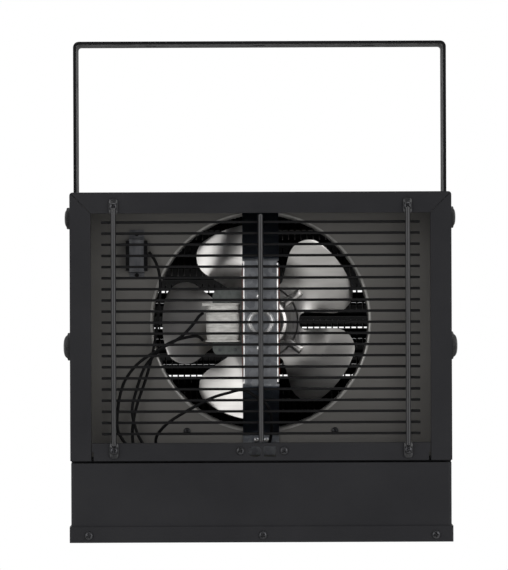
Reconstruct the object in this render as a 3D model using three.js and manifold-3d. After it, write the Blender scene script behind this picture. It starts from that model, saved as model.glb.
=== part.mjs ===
// Ceiling mounted fan heater: a sheet metal case hung in a tilting strap bracket, with a wire
// intake grille and a fan at the rear, finned heating elements, and louvres at the front.
// Millimetres. +Z is up, the intake faces -Y, the outlet faces +Y. The origin is the middle of
// the bracket's top face, the face that lies against the ceiling.
import * as THREE from 'three';
import { mergeVertices } from 'three/addons/utils/BufferGeometryUtils.js';
import Module from 'manifold-3d';

const wasm = await Module();
wasm.setup();
const { PI, cos, sin, tan, hypot } = Math;
const rad = THREE.MathUtils.degToRad;

// ---- Driving sizes ----------------------------------------------------------------------
// Case
const caseWidth = 374;
const caseDepth = 330;
const upperHeight = 263;      // fan and element compartment
const lowerHeight = 77.6;     // wiring compartment, down to the underside of its cover
const seam = 2.4;             // shadow gap between the two compartments
const sheet = 1.2;            // case steel
const bendRadius = 3;         // outside radius of a folded corner
const cornerRadius = 2;       // corners of a pan that fits inside the case
const gap = 0.3;              // between two pieces that touch
const rearFlange = 20.5;      // folded border round the intake
const flangeLip = 7;          // its edge, turned into the case
const mitre = 0.5;            // open corner joint of the border
const railHeight = 17.2;      // bar below the intake
const coverFlange = 15.5;     // upturned edge of the bottom cover

// Bracket and its hand screws
const bracketDrop = 160;      // ceiling to the top of the case
const strapWidth = 45;
const strapThick = 3;
const strapBend = 6;
const strapClearance = 2;     // between the strap and the case side
const slotPitch = 113;        // fixing slots in the top bar
const slotLength = 13.5;
const slotWidth = 8;
const legHoleDrop = 44;       // small hole in each leg, below the ceiling
const legHoleRadius = 2.5;
const pivotDrop = 154.5;      // top of the case to the tilt pivot
const lockDrop = 21.5;        // top of the case to the locking screw
const tiltLimit = 30;         // degrees each way
const studRadius = 3;
const studHole = 3.5;

// Fan, shroud and motor
const fanRise = 3.5;          // fan axis above the middle of the upper compartment
const shroudInset = 60;       // intake face to the shroud plate
const shroudMargin = 24.1;    // shroud opening to the top and bottom of the compartment
const shroudCurl = 2.8;
const shroudFold = 14;        // its edge, turned forward
const shroudLand = 14.2;       // straight part of the ring ahead of its curl
const tipGap = 8.9;           // blade tip to the shroud's ring
const fanBlades = 5;
const bladeSpread = 60.6;     // a blade's width, degrees round the axis
const bladeCorner = 21;       // radius of a blade's outer corners
const firstBlade = 36.7;      // degrees up from +X
const fanInset = 70;          // intake face to the plane of the blades
const bladePitch = 22;        // degrees
const fanSheet = 1.2;
const hubDisc = 38;
const strapSteel = 1.5;       // motor strap
const motorStrapWidth = 36;
const motorStrapRise = 50;    // shroud plate to the strap's flat
const motorStrapSlope = 50;   // ring to the strap's flat, along the radius
const stackThick = 25;
const stackHalf = 33;         // half height of the laminations
const shaftRadius = 3;
const rotorRadius = 12.4;

// Intake grille
const wireCount = 20;
const wireMargin = 9.1;       // edge of the intake to the first wire
const wireRadius = 1.3;
const wireLength = 312;
const barRadius = 2.5;
const barSpread = 144;        // outer bars from the middle

// Elements
const elementCount = 3;       // each with two level runs
const elementMargin = 36.25;  // top and bottom of the compartment to the outer runs
const elementRise = 7.75;     // elements above the middle of the compartment
const tubeRadius = 5.5;
const finGap = 8.1;           // between the fins of two runs
const finPitch = 20;
const finnedHalf = 136;       // half length of the finned stretch
const elementInset = 230;     // intake face to the plane of the elements

// Outlet
const louverCount = 5;
const outletMargin = 32;      // top and bottom of the compartment to the outlet
const outletRise = 7.5;       // outlet above the middle of the compartment
const outletLip = 3.5;        // front edge turned into the opening, above and below
const louverGap = 0.6;        // between neighbours if they could close flat
const louverSheet = 1.2;
const louverBead = 1.5;       // radius of a louvre's rolled edges
const louverTilt = 40;        // degrees down from level
const topLouverTilt = 52;     // the top louvre stands more closed
const outletWidth = 312;
const outletDepth = 36;       // cheeks that carry the louvres
const louverInset = 20;       // front face to the louvre pivots

// ---- Levels worked out from them ----------------------------------------------------------
const rearY = -caseDepth / 2;
const frontY = caseDepth / 2;
const sideX = caseWidth / 2;
const topZ = -bracketDrop;
const shelfZ = topZ - upperHeight;
const lowerTopZ = shelfZ - seam;
const baseZ = lowerTopZ - lowerHeight;
const pivotZ = topZ - pivotDrop;
const lockZ = topZ - lockDrop;
const lockRadius = lockZ - pivotZ;
const middleZ = topZ - upperHeight / 2;
const fanZ = middleZ + fanRise;
const shroudRadius = upperHeight / 2 - shroudMargin;
const fanRadius = shroudRadius - tipGap;
const innerX = sideX - sheet;
const innerTopZ = topZ - sheet;
const legX = sideX + strapClearance;          // inner face of a bracket leg
const shroudY = rearY + shroudInset;          // rear face of the shroud plate
const fanY = rearY + fanInset;
const strapFlatY = shroudY - motorStrapRise;  // rear face of the motor strap's flat
const elementY = rearY + elementInset;
const louverY = frontY - louverInset;
const intakeHeight = upperHeight - railHeight - rearFlange;
const wirePitch = (intakeHeight - 2 * wireMargin) / (wireCount - 1);
const outletZ = middleZ + outletRise;         // middle of the outlet
const outletHeight = upperHeight - 2 * outletMargin;
const louverPitch = outletHeight / louverCount;
const louverChord = louverPitch - louverGap;
const elementZ = middleZ + elementRise;
const elementPitch = (upperHeight - 2 * elementMargin) / (2 * elementCount - 1);
const finRadius = (elementPitch - finGap) / 2;

// ---- Helpers -------------------------------------------------------------------------------
function solid(geometry) {
  const bare = geometry.clone();
  bare.deleteAttribute('normal');
  bare.deleteAttribute('uv');
  const merged = mergeVertices(bare, 1e-4);
  return new wasm.Manifold(new wasm.Mesh({
    numProp: 3,
    vertProperties: new Float32Array(merged.attributes.position.array),
    triVerts: new Uint32Array(merged.index.array),
  }));
}

function toGeometry(body) {
  const { vertProperties, triVerts } = body.simplify(0.01).getMesh();
  const geometry = new THREE.BufferGeometry();
  geometry.setAttribute('position', new THREE.BufferAttribute(vertProperties, 3));
  geometry.setIndex(new THREE.BufferAttribute(triVerts, 1));
  geometry.computeVertexNormals();
  return geometry;
}

function block([x0, x1], [y0, y1], [z0, z1]) {
  const geometry = new THREE.BoxGeometry(x1 - x0, y1 - y0, z1 - z0);
  geometry.translate((x0 + x1) / 2, (y0 + y1) / 2, (z0 + z1) / 2);
  return solid(geometry);
}

// Turns a shape's own (across, up, along) axes to the part's axes, with along on the axis named.
const turnTo = {
  x: new THREE.Matrix4().set(0, 0, 1, 0, 1, 0, 0, 0, 0, 1, 0, 0, 0, 0, 0, 1),
  y: new THREE.Matrix4().set(1, 0, 0, 0, 0, 0, -1, 0, 0, 1, 0, 0, 0, 0, 0, 1),
  z: new THREE.Matrix4(),
};

// A prism of a shape between two places on an axis. On x the shape is drawn in (y, z), on y in
// (x, z) and on z in (x, y).
function prism(shape, axis, from, to, curveSegments = 3) {
  const geometry = new THREE.ExtrudeGeometry(shape, { depth: to - from, bevelEnabled: false, curveSegments });
  geometry.applyMatrix4(turnTo[axis]);
  const start = axis === 'y' ? [0, to, 0] : [axis === 'x' ? from : 0, 0, axis === 'z' ? from : 0];
  geometry.translate(...start);
  return solid(geometry);
}

// A turned piece: the profile's (radius, height) pairs run round its section, height on the axis.
// A lathe geometry already has its height on Y.
function turned(profile, axis, segments = 24) {
  const points = profile.map(([radius, height]) => new THREE.Vector2(radius, height));
  const geometry = new THREE.LatheGeometry(points, segments);
  if (axis === 'x') geometry.rotateZ(-PI / 2);
  if (axis === 'z') geometry.rotateX(PI / 2);
  const body = solid(geometry);
  return body.volume() > 0 ? body : solid(flipped(geometry));
}

function flipped(geometry) {
  const other = geometry.clone();
  const order = other.index.array;
  for (let i = 0; i < order.length; i += 3) [order[i + 1], order[i + 2]] = [order[i + 2], order[i + 1]];
  return other;
}

function disc(radius, axis, from, to, segments = 24) {
  return turned([[0, from], [radius, from], [radius, to], [0, to]], axis, segments);
}

const at = (body, x, y, z) => body.translate([x, y, z]);
const join = (first, ...others) => others.reduce((all, one) => all.add(one), first);
const cut = (first, ...others) => others.reduce((all, one) => all.subtract(one), first);

function rectangle(x0, x1, y0, y1, radius = 0) {
  const shape = new THREE.Shape();
  if (!radius) {
    shape.moveTo(x0, y0).lineTo(x1, y0).lineTo(x1, y1).lineTo(x0, y1).closePath();
    return shape;
  }
  shape.absarc(x1 - radius, y0 + radius, radius, -PI / 2, 0);
  shape.absarc(x1 - radius, y1 - radius, radius, 0, PI / 2);
  shape.absarc(x0 + radius, y1 - radius, radius, PI / 2, PI);
  shape.absarc(x0 + radius, y0 + radius, radius, PI, PI * 1.5);
  shape.closePath();
  return shape;
}

// An arch, open at the bottom: two legs and a top joined by round corners.
function arch(halfWidth, top, bottom, thick, radius) {
  const inside = Math.max(radius - thick, 0.01);
  const shape = new THREE.Shape();
  shape.moveTo(halfWidth, bottom);
  shape.lineTo(halfWidth, top - radius);
  shape.absarc(halfWidth - radius, top - radius, radius, 0, PI / 2);
  shape.absarc(-halfWidth + radius, top - radius, radius, PI / 2, PI);
  shape.lineTo(-halfWidth, bottom);
  shape.lineTo(-halfWidth + thick, bottom);
  shape.absarc(-halfWidth + thick + inside, top - thick - inside, inside, PI, PI / 2, true);
  shape.absarc(halfWidth - thick - inside, top - thick - inside, inside, PI / 2, 0, true);
  shape.lineTo(halfWidth - thick, bottom);
  shape.closePath();
  return shape;
}

// A strip of sheet bent along a centre line of [across, up] points, thick on both sides of it.
function bentStrip(points, thick) {
  const corner = points.map(([a, b], i) => {
    const [pa, pb] = points[Math.max(i - 1, 0)];
    const [na, nb] = points[Math.min(i + 1, points.length - 1)];
    const before = i ? new THREE.Vector2(a - pa, b - pb).normalize() : null;
    const after = i < points.length - 1 ? new THREE.Vector2(na - a, nb - b).normalize() : null;
    const along = (before ?? after).clone().add(after ?? before).normalize();
    const stretch = thick / 2 / along.dot(before ?? after);
    return [a, b, -along.y * stretch, along.x * stretch];
  });
  const oneSide = corner.map(([a, b, u, v]) => new THREE.Vector2(a + u, b + v));
  const otherSide = corner.map(([a, b, u, v]) => new THREE.Vector2(a - u, b - v)).reverse();
  return new THREE.Shape([...oneSide, ...otherSide]);
}

// A closed thin sheet over a grid: place(u, v) gives a point of its middle surface and the
// thickness stands on both sides of it along Y.
function thinSheet(place, across, along, thick) {
  const position = [];
  const index = [];
  const id = (side, i, j) => side * (across + 1) * (along + 1) + j * (across + 1) + i;
  for (const side of [-1, 1]) {
    for (let j = 0; j <= along; j += 1) {
      for (let i = 0; i <= across; i += 1) {
        const [x, y, z] = place(i / across, j / along);
        position.push(x, y + side * thick / 2, z);
      }
    }
  }
  const quad = (a, b, c, d) => index.push(a, b, c, a, c, d);
  for (let j = 0; j < along; j += 1) {
    for (let i = 0; i < across; i += 1) {
      quad(id(0, i, j), id(0, i + 1, j), id(0, i + 1, j + 1), id(0, i, j + 1));
      quad(id(1, i, j), id(1, i, j + 1), id(1, i + 1, j + 1), id(1, i + 1, j));
    }
    quad(id(0, 0, j), id(0, 0, j + 1), id(1, 0, j + 1), id(1, 0, j));
    quad(id(0, across, j), id(1, across, j), id(1, across, j + 1), id(0, across, j + 1));
  }
  for (let i = 0; i < across; i += 1) {
    quad(id(0, i, 0), id(1, i, 0), id(1, i + 1, 0), id(0, i + 1, 0));
    quad(id(0, i, along), id(0, i + 1, along), id(1, i + 1, along), id(1, i, along));
  }
  const geometry = new THREE.BufferGeometry();
  geometry.setAttribute('position', new THREE.Float32BufferAttribute(position, 3));
  geometry.setIndex(index);
  const body = solid(geometry);
  return body.volume() > 0 ? body : solid(flipped(geometry));
}

// A round wire along a smooth curve through its points.
function wire(points, radius, steps, sides = 8) {
  const curve = new THREE.CatmullRomCurve3(points.map((p) => new THREE.Vector3(...p)), false, 'centripetal');
  const section = new THREE.Shape();
  section.absarc(0, 0, radius, 0, 2 * PI);
  const curveSegments = sides / 2;
  const geometry = new THREE.ExtrudeGeometry(section, { steps, extrudePath: curve, curveSegments });
  const body = solid(geometry);
  return body.volume() > 0 ? body : solid(flipped(mergeVertices(geometry)));
}

const finishes = {
  caseBlack: [0x2d2d30, 0.62, 0.1],
  bracketBlack: [0x2a2a2c, 0.6, 0.1],
  shroudGrey: [0x55534f, 0.55, 0.4],
  wireBlack: [0x232325, 0.5, 0.2],
  galvanised: [0x8a8c90, 0.4, 0.8],
  brightAluminium: [0xc9c8c6, 0.3, 0.95],
  laminations: [0x3c3f3e, 0.6, 0.5],
  tape: [0xd8d4cc, 0.7, 0.0],
  steel: [0xb0b0b0, 0.35, 0.9],
  elementBlack: [0x141414, 0.7, 0.3],
  blackPlastic: [0x1c1c1d, 0.5, 0.0],
  blackRubber: [0x151517, 0.75, 0.0],
  whitePlastic: [0xd9d6cf, 0.5, 0.0],
  amberLens: [0xd06a1a, 0.25, 0.0],
};

const heater = new THREE.Group();

function add(name, body, finish, parent = heater) {
  const [color, roughness, metalness] = finishes[finish];
  const material = new THREE.MeshStandardMaterial({ color, roughness, metalness });
  const mesh = new THREE.Mesh(toGeometry(body), material);
  mesh.name = name;
  parent.add(mesh);
  return mesh;
}

function groupAt(x, y, z) {
  const group = new THREE.Group();
  group.position.set(x, y, z);
  heater.add(group);
  return group;
}

const sides = { left: -1, right: 1 };

// ---- Mounting bracket ------------------------------------------------------------------------
function mountingBracket() {
  const outerX = legX + strapThick;
  const halfStrap = strapWidth / 2;
  let body = prism(arch(outerX, 0, pivotZ, strapThick, strapBend), 'y', -halfStrap, halfStrap);
  for (const side of [-1, 1]) {
    const span = [side * legX, side * outerX].sort((a, b) => a - b);
    body = body.add(at(disc(halfStrap, 'x', ...span, 24), 0, 0, pivotZ));
    const through = [span[0] - 1, span[1] + 1];
    const holes = [[studHole, pivotZ], [studHole, lockZ], [legHoleRadius, -legHoleDrop]];
    for (const [radius, z] of holes) body = body.subtract(at(disc(radius, 'x', ...through, 12), 0, 0, z));
  }
  for (const x of [-slotPitch, 0, slotPitch]) {
    const span = [x - slotLength / 2, x + slotLength / 2];
    const slot = rectangle(...span, -slotWidth / 2, slotWidth / 2, slotWidth / 2 - 0.01);
    body = body.subtract(prism(slot, 'z', -strapThick - 1, 1, 3));
  }
  return body;
}
add('mounting_bracket', mountingBracket(), 'bracketBlack');

// ---- Hand screws: a thick rim with a shallow fluted dome, on a stud along +X --------------------
function handScrew(flangeRadius, flange, domeRadius, height, studLength) {
  const flutes = 6;
  const rings = 3;
  const profile = [[0, -studLength], [studRadius, -studLength], [studRadius, 0], [flangeRadius, 0]];
  profile.push([flangeRadius, flange - 0.8], [flangeRadius - 0.8, flange], [domeRadius, flange]);
  for (let i = 1; i < rings; i += 1) {
    const turn = (PI / 2) * (i / rings);
    profile.push([domeRadius * cos(turn), flange + (height - flange) * sin(turn)]);
  }
  profile.push([0, height]);
  const points = profile.map(([radius, h]) => new THREE.Vector2(radius, h));
  const geometry = new THREE.LatheGeometry(points, flutes * 3);
  const place = geometry.attributes.position;
  for (let i = 0; i < place.count; i += 1) {
    const radius = hypot(place.getX(i), place.getZ(i));
    if (radius < domeRadius * 0.6 || radius > domeRadius + 0.01) continue;
    const turn = Math.atan2(place.getZ(i), place.getX(i));
    const depth = 1 - 0.05 * (1 - cos(flutes * turn));
    place.setX(i, place.getX(i) * depth);
    place.setZ(i, place.getZ(i) * depth);
  }
  geometry.rotateZ(-PI / 2);
  const body = solid(geometry);
  return body.volume() > 0 ? body : solid(flipped(geometry));
}

function hexNut(flangeRadius, flangeThick, height) {
  const acrossCorners = 6.4;
  const hex = disc(acrossCorners, 'x', -height, 0, 6);
  const flange = disc(flangeRadius, 'x', -flangeThick, 0, 20);
  const bore = disc(studRadius + gap, 'x', -height - 1, 1, 16);
  return cut(hex.add(flange), bore);
}

const headFaceX = legX + strapThick + gap;
const nutFaceX = innerX - gap;
const studReach = headFaceX - nutFaceX + 6;
for (const [side, sign] of Object.entries(sides)) {
  const screws = [['pivot_screw', pivotZ, 14.4, 7.6, 12.6, 12], ['lock_screw', lockZ, 11.2, 8.2, 9, 10.4]];
  for (const [name, z, flangeRadius, flange, domeRadius, height] of screws) {
    const place = groupAt(sign * headFaceX, 0, z);
    place.rotation.z = sign > 0 ? 0 : PI;
    const screw = handScrew(flangeRadius, flange, domeRadius, height, studReach);
    add(`${name}_${side}`, screw, 'blackPlastic', place);
  }
  const nuts = [['pivot_nut', pivotZ, 7, 1, 5], ['lock_nut', lockZ, 9, 1.5, 6.5]];
  for (const [name, z, flangeRadius, flangeThick, height] of nuts) {
    const place = groupAt(sign * nutFaceX, 0, z);
    place.rotation.z = sign > 0 ? 0 : PI;
    add(`${name}_${side}`, hexNut(flangeRadius, flangeThick, height), 'steel', place);
  }
  const washerThick = strapClearance - 2 * gap;
  const washer = cut(disc(12, 'x', 0, washerThick, 24), disc(studHole, 'x', -1, washerThick + 1, 16));
  const place = groupAt(sign * (sideX + gap), 0, pivotZ);
  place.rotation.z = sign > 0 ? 0 : PI;
  add(`pivot_washer_${side}`, washer, 'blackPlastic', place);
}

// ---- Case --------------------------------------------------------------------------------------
// Slot for the locking screw: an arc about the pivot, drawn in (y, z).
function lockSlot() {
  const shape = new THREE.Shape();
  const from = PI / 2 - rad(tiltLimit + 0.5);
  const to = PI / 2 + rad(tiltLimit + 0.5);
  const end = (turn) => [lockRadius * cos(turn), pivotZ + lockRadius * sin(turn)];
  shape.absarc(0, pivotZ, lockRadius + studHole, from, to, false);
  shape.absarc(...end(to), studHole, to, to + PI, false);
  shape.absarc(0, pivotZ, lockRadius - studHole, to, from, true);
  shape.absarc(...end(from), studHole, from + PI, from + 2 * PI, false);
  return shape;
}

function cabinetWrap() {
  const openX = sideX - rearFlange;
  const openTop = topZ - rearFlange;
  let body = prism(arch(sideX, topZ, shelfZ, sheet, bendRadius), 'y', rearY, frontY, 2);
  const border = arch(sideX - 0.4, topZ - 0.4, shelfZ, rearFlange - 0.4, bendRadius);
  body = body.add(prism(border, 'y', rearY, rearY + sheet, 2));
  const lip = arch(openX + sheet, openTop + sheet, shelfZ, sheet, bendRadius - 1.5);
  body = body.add(prism(lip, 'y', rearY, rearY + flangeLip, 2));
  for (const side of [-1, 1]) {
    const length = rearFlange * Math.SQRT2 + 2;
    const slit = new THREE.BoxGeometry(length, flangeLip + 4, mitre);
    slit.rotateY(-side * PI / 4);
    const reach = 1.4 * sheet + length / 2 / Math.SQRT2;
    slit.translate(side * (sideX - reach), rearY + flangeLip / 2, topZ - reach);
    body = body.subtract(solid(slit));
  }
  body = cut(body, prism(lockSlot(), 'x', -sideX - 1, sideX + 1, 4));
  return cut(body, at(disc(studHole, 'x', -sideX - 1, sideX + 1, 16), 0, 0, pivotZ));
}
add('cabinet_wrap', cabinetWrap(), 'caseBlack');

// The bar below the intake: a face with a lip above and a foot below, and two slots in the middle.
function rearRail() {
  const halfLength = sideX - rearFlange - 0.8;
  const railTop = shelfZ + railHeight;
  const span = [-halfLength, halfLength];
  let body = block(span, [rearY, rearY + sheet], [shelfZ, railTop]);
  body = join(body,
    block(span, [rearY, rearY + flangeLip], [railTop - sheet, railTop]),
    block(span, [rearY, rearY + 24], [shelfZ, shelfZ + sheet]));
  const windowHigh = [shelfZ + 3.6, shelfZ + 13.8];
  const rounded = rectangle(-11.8, -0.2, ...windowHigh, 4);
  const through = [rearY - 1, rearY + sheet + 0.5];
  body = cut(body, prism(rounded, 'y', ...through, 4), block([2.5, 14.3], through, windowHigh));
  for (const side of [-1, 1]) {
    const notch = [side * (halfLength - 1.6), side * (halfLength + 1)].sort((a, b) => a - b);
    body = cut(body, block(notch, [rearY - 1, rearY + 30], [shelfZ - 1, shelfZ + 9]));
  }
  return body;
}
add('rear_rail', rearRail(), 'caseBlack');

// Floor between the compartments: a tray with upturned sides and a hole for the leads.
const leadHole = { x: -112, y: rearY + 41, halfLength: 24, halfWidth: 8 };
function cabinetFloor() {
  const top = shelfZ - gap;
  const plate = seam - 2 * gap;
  const wall = innerX - gap;
  const rise = 18;
  const from = shroudY + shroudFold + 2;
  const to = frontY - outletDepth - 4;
  let body = block([-sideX + gap, sideX - gap], [rearY + 12, frontY - 2], [top - plate, top]);
  for (const side of [-1, 1]) {
    const x = [side * (wall - sheet), side * wall].sort((a, b) => a - b);
    body = body.add(block(x, [from, to], [top - sheet, top + rise]));
  }
  const { x, y, halfLength, halfWidth } = leadHole;
  const hole = rectangle(x - halfLength, x + halfLength, y - halfWidth, y + halfWidth, halfWidth - 0.01);
  return cut(body, prism(hole, 'z', top - plate - 1, top + 1, 6));
}
add('cabinet_floor', cabinetFloor(), 'galvanised');

// Walls of the wiring compartment: a rear panel and two sides with a flange along the top.
const boxX = sideX - 0.6;
const boxRearY = rearY + 0.5;
const boxFrontY = frontY - 2;
function wiringBox() {
  const top = shelfZ - seam;
  const bottom = baseZ + sheet + gap;
  const outline = new THREE.Shape();
  const r = bendRadius;
  const i = bendRadius - sheet;
  outline.moveTo(-boxX, boxFrontY).lineTo(-boxX, boxRearY + r);
  outline.absarc(-boxX + r, boxRearY + r, r, PI, PI * 1.5);
  outline.absarc(boxX - r, boxRearY + r, r, PI * 1.5, PI * 2);
  outline.lineTo(boxX, boxFrontY).lineTo(boxX - sheet, boxFrontY);
  outline.absarc(boxX - r, boxRearY + r, i, 0, -PI / 2, true);
  outline.absarc(-boxX + r, boxRearY + r, i, -PI / 2, -PI, true);
  outline.lineTo(-boxX + sheet, boxFrontY);
  outline.closePath();
  const flange = 14;
  const rim = [top - sheet, top];
  const hollow = block([-boxX + flange, boxX - flange], [boxRearY + flange, frontY], [top - 5, top + 1]);
  const plate = rectangle(-boxX + 0.2, boxX - 0.2, boxRearY + 0.2, boxFrontY, 2.8);
  return join(prism(outline, 'z', bottom, top, 2), cut(prism(plate, 'z', ...rim, 2), hollow));
}
add('wiring_box', wiringBox(), 'caseBlack');

// Bottom cover: a shallow tray outside the walls, with a hole for the supply cable.
const cableHole = { x: -110, y: 40, radius: 11 };
function bottomCover() {
  const outX = boxX + gap + sheet;
  const outRear = boxRearY - gap - sheet;
  const outFront = frontY + gap + sheet;
  const outer = rectangle(-outX, outX, outRear, outFront, 2);
  const inner = rectangle(-outX + sheet, outX - sheet, outRear + sheet, outFront - sheet, 0.8);
  const hollow = prism(inner, 'z', baseZ + sheet, baseZ + coverFlange + 1);
  const tray = cut(prism(outer, 'z', baseZ, baseZ + coverFlange), hollow);
  const hole = disc(cableHole.radius, 'z', -2, sheet + 2, 24);
  return cut(tray, at(hole, cableHole.x, cableHole.y, baseZ));
}
add('bottom_cover', bottomCover(), 'caseBlack');

function cableBushing() {
  const { radius } = cableHole;
  const bore = radius - 3;
  const above = sheet + gap;
  const profile = [[bore, -3], [radius + 3, -3], [radius + 3, -gap], [radius - gap, -gap],
    [radius - gap, above], [radius + 2, above], [radius + 2, above + 3], [bore, above + 3], [bore, -3]];
  return turned(profile, 'z', 16);
}
const bushingPlace = groupAt(cableHole.x, cableHole.y, baseZ);
add('cable_bushing', cableBushing(), 'blackRubber', bushingPlace);

// ---- Outlet frame and louvres -----------------------------------------------------------------
const pinRadius = 2;
const louverZ = (i) => outletZ + (i - (louverCount - 1) / 2) * louverPitch;
function outletFrame() {
  const halfX = innerX - gap;
  const low = shelfZ + gap;
  const high = innerTopZ - gap;
  const openX = outletWidth / 2;
  const openLow = outletZ - outletHeight / 2;
  const openHigh = outletZ + outletHeight / 2;
  const rim = 14;
  const pan = prism(rectangle(-halfX, halfX, low, high, cornerRadius), 'y', frontY - rim, frontY, 2);
  const inside = [low + sheet, high - sheet];
  let body = cut(pan, block([-halfX + sheet, halfX - sheet], [frontY - rim - 1, frontY - sheet], inside));
  const cheek = [frontY - outletDepth, frontY];
  body = body.add(block([-openX - sheet, openX + sheet], cheek, [openLow - sheet, openHigh + sheet]));
  const behind = [frontY - outletDepth - 1, frontY - sheet];
  const ahead = [frontY - sheet - 1, frontY + 1];
  body = cut(body, block([-openX, openX], behind, [openLow, openHigh]));
  body = cut(body, block([-openX, openX], ahead, [openLow + outletLip, openHigh - outletLip]));
  for (let i = 0; i < louverCount; i += 1) {
    const hole = disc(pinRadius + gap, 'x', -openX - 3, openX + 3, 12);
    body = cut(body, at(hole, 0, louverY, louverZ(i)));
  }
  return body;
}
add('outlet_frame', outletFrame(), 'caseBlack');

// A louvre: a thin blade with a rolled edge front and back and a pin at each end.
function louver() {
  const half = outletWidth / 2 - 1;
  const reach = louverChord / 2 - louverBead;
  const span = [-half, half];
  const blade = block(span, [-reach, reach], [-louverSheet / 2, louverSheet / 2]);
  const edges = [-reach, reach].map((y) => at(disc(louverBead, 'x', ...span, 8), 0, y, 0));
  const pinEnd = outletWidth / 2 + sheet + 1;
  return join(blade, ...edges, disc(pinRadius, 'x', -pinEnd, pinEnd, 12));
}
for (let i = 0; i < louverCount; i += 1) {
  const place = groupAt(0, louverY, louverZ(louverCount - 1 - i));
  place.rotation.x = -rad(i ? louverTilt : topLouverTilt);
  add(`louver_${i + 1}`, louver(), 'caseBlack', place);
}

// ---- Fan shroud --------------------------------------------------------------------------------
const shroudHoles = { x: 74, below: 109, above: 114, radius: 2.3 };
function fanShroud() {
  const halfX = innerX - gap;
  const low = shelfZ + gap;
  const high = innerTopZ - gap;
  const front = shroudY + shroudFold;
  const pan = prism(rectangle(-halfX, halfX, low, high, cornerRadius), 'y', shroudY, front, 2);
  const inside = [low + sheet, high - sheet];
  const hollow = block([-halfX + sheet, halfX - sheet], [shroudY + sheet, front + 1], inside);
  const feet = block([-halfX - 1, halfX + 1], [shroudY + sheet, front + 1], [low - 1, low + 20]);
  let body = cut(pan, hollow, feet);
  const mouth = shroudRadius + shroudCurl;
  body = cut(body, at(disc(mouth + 1, 'y', shroudY - 1, shroudY + 3, 36), 0, 0, fanZ));
  const profile = [[mouth + 3, 0], [mouth, 0]];
  const steps = 3;
  for (let i = 1; i <= steps; i += 1) {
    const turn = (PI / 2) * (i / steps);
    profile.push([mouth - shroudCurl * sin(turn), shroudCurl - shroudCurl * cos(turn)]);
  }
  const depth = shroudCurl + shroudLand;
  profile.push([shroudRadius, depth], [shroudRadius + sheet, depth]);
  for (let i = steps; i >= 0; i -= 1) {
    const turn = (PI / 2) * (i / steps);
    const r = shroudCurl - sheet;
    profile.push([mouth - r * sin(turn), shroudCurl - r * cos(turn)]);
  }
  profile.push([mouth + 3, sheet], [mouth + 3, 0]);
  body = body.add(at(turned(profile, 'y', 36), 0, shroudY, fanZ));
  for (const x of [-shroudHoles.x, shroudHoles.x]) {
    for (const z of [fanZ - shroudHoles.below, fanZ + shroudHoles.above]) {
      body = cut(body, at(disc(shroudHoles.radius, 'y', shroudY - 1, shroudY + 3, 12), x, 0, z));
    }
  }
  return body;
}
add('fan_shroud', fanShroud(), 'shroudGrey');

// ---- Fan and shaft -----------------------------------------------------------------------------
const notchRadius = 9;
const notchAt = hubDisc + notchRadius;
// Half the angle of a blade at a radius, in degrees: a round notch at the root, a broad middle,
// and a round corner that runs into the tip's own circle.
function bladeHalfAngle(r) {
  const degrees = THREE.MathUtils.radToDeg;
  const broad = bladeSpread / 2;
  const cornerAt = fanRadius + 0.4 - bladeCorner;
  const widest = Math.sqrt(cornerAt ** 2 - bladeCorner ** 2);
  if (r < notchAt) {
    const halfNotch = Math.sqrt(Math.max(notchRadius ** 2 - (notchAt - r) ** 2, 0));
    return 180 / fanBlades - degrees(Math.asin(halfNotch / r));
  }
  if (r < widest) return broad * (1 - 0.17 * ((widest - r) / (widest - notchAt)) ** 1.5);
  const turn = Math.acos((r ** 2 + cornerAt ** 2 - bladeCorner ** 2) / (2 * r * cornerAt));
  return broad - degrees(Math.asin(bladeCorner / cornerAt)) + degrees(turn);
}

function fanBladePiece() {
  const rows = 9;
  const radiusAt = (v) => hubDisc - 1.5 + (fanRadius - hubDisc + 1.5) * sin(v * PI / 2) ** 1.1;
  const twist = (r) => tan(rad(bladePitch)) * THREE.MathUtils.smoothstep(r, hubDisc, 72);
  const place = (centre) => (u, v) => {
    const r = radiusAt(v);
    const half = rad(Math.min(bladeHalfAngle(Math.max(r, hubDisc)), 180 / fanBlades - 0.4));
    const turn = centre + (2 * u - 1) * half;
    return [r * cos(turn), -twist(r) * r * sin(turn - centre), r * sin(turn)];
  };
  const ring = fanSheet * 1.4;
  const hub = [[shaftRadius + gap, 0], [19, 0], [21, -ring], [24.5, -ring], [27, 0], [hubDisc + 0.6, 0],
    [hubDisc + 0.6, fanSheet], [27.5, fanSheet], [25, fanSheet - ring], [20.6, fanSheet - ring],
    [18.6, fanSheet], [shaftRadius + gap, fanSheet], [shaftRadius + gap, 0]];
  let body = at(turned(hub, 'y', 25), 0, -fanSheet / 2, 0);
  for (let i = 0; i < fanBlades; i += 1) {
    const centre = rad(firstBlade + (i * 360) / fanBlades);
    body = body.add(thinSheet(place(centre), 4, rows, fanSheet));
    const rib = new THREE.CylinderGeometry(2.6, 2.6, 22, 6);
    rib.scale(1, 1, 0.55);
    rib.rotateZ(-PI / 2);
    rib.translate(41, -fanSheet / 2, 0);
    rib.rotateY(-centre);
    body = body.add(solid(rib));
  }
  return body;
}
const fanGroup = groupAt(0, fanY, fanZ);
add('fan_blades', fanBladePiece(), 'brightAluminium', fanGroup);

const hubLength = 14;
const hubStart = fanSheet / 2 + gap;
const collar = cut(disc(9, 'y', hubStart, hubStart + hubLength, 20), disc(shaftRadius + gap, 'y', 0, 30, 16));
add('fan_hub', collar, 'steel', fanGroup);

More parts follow.
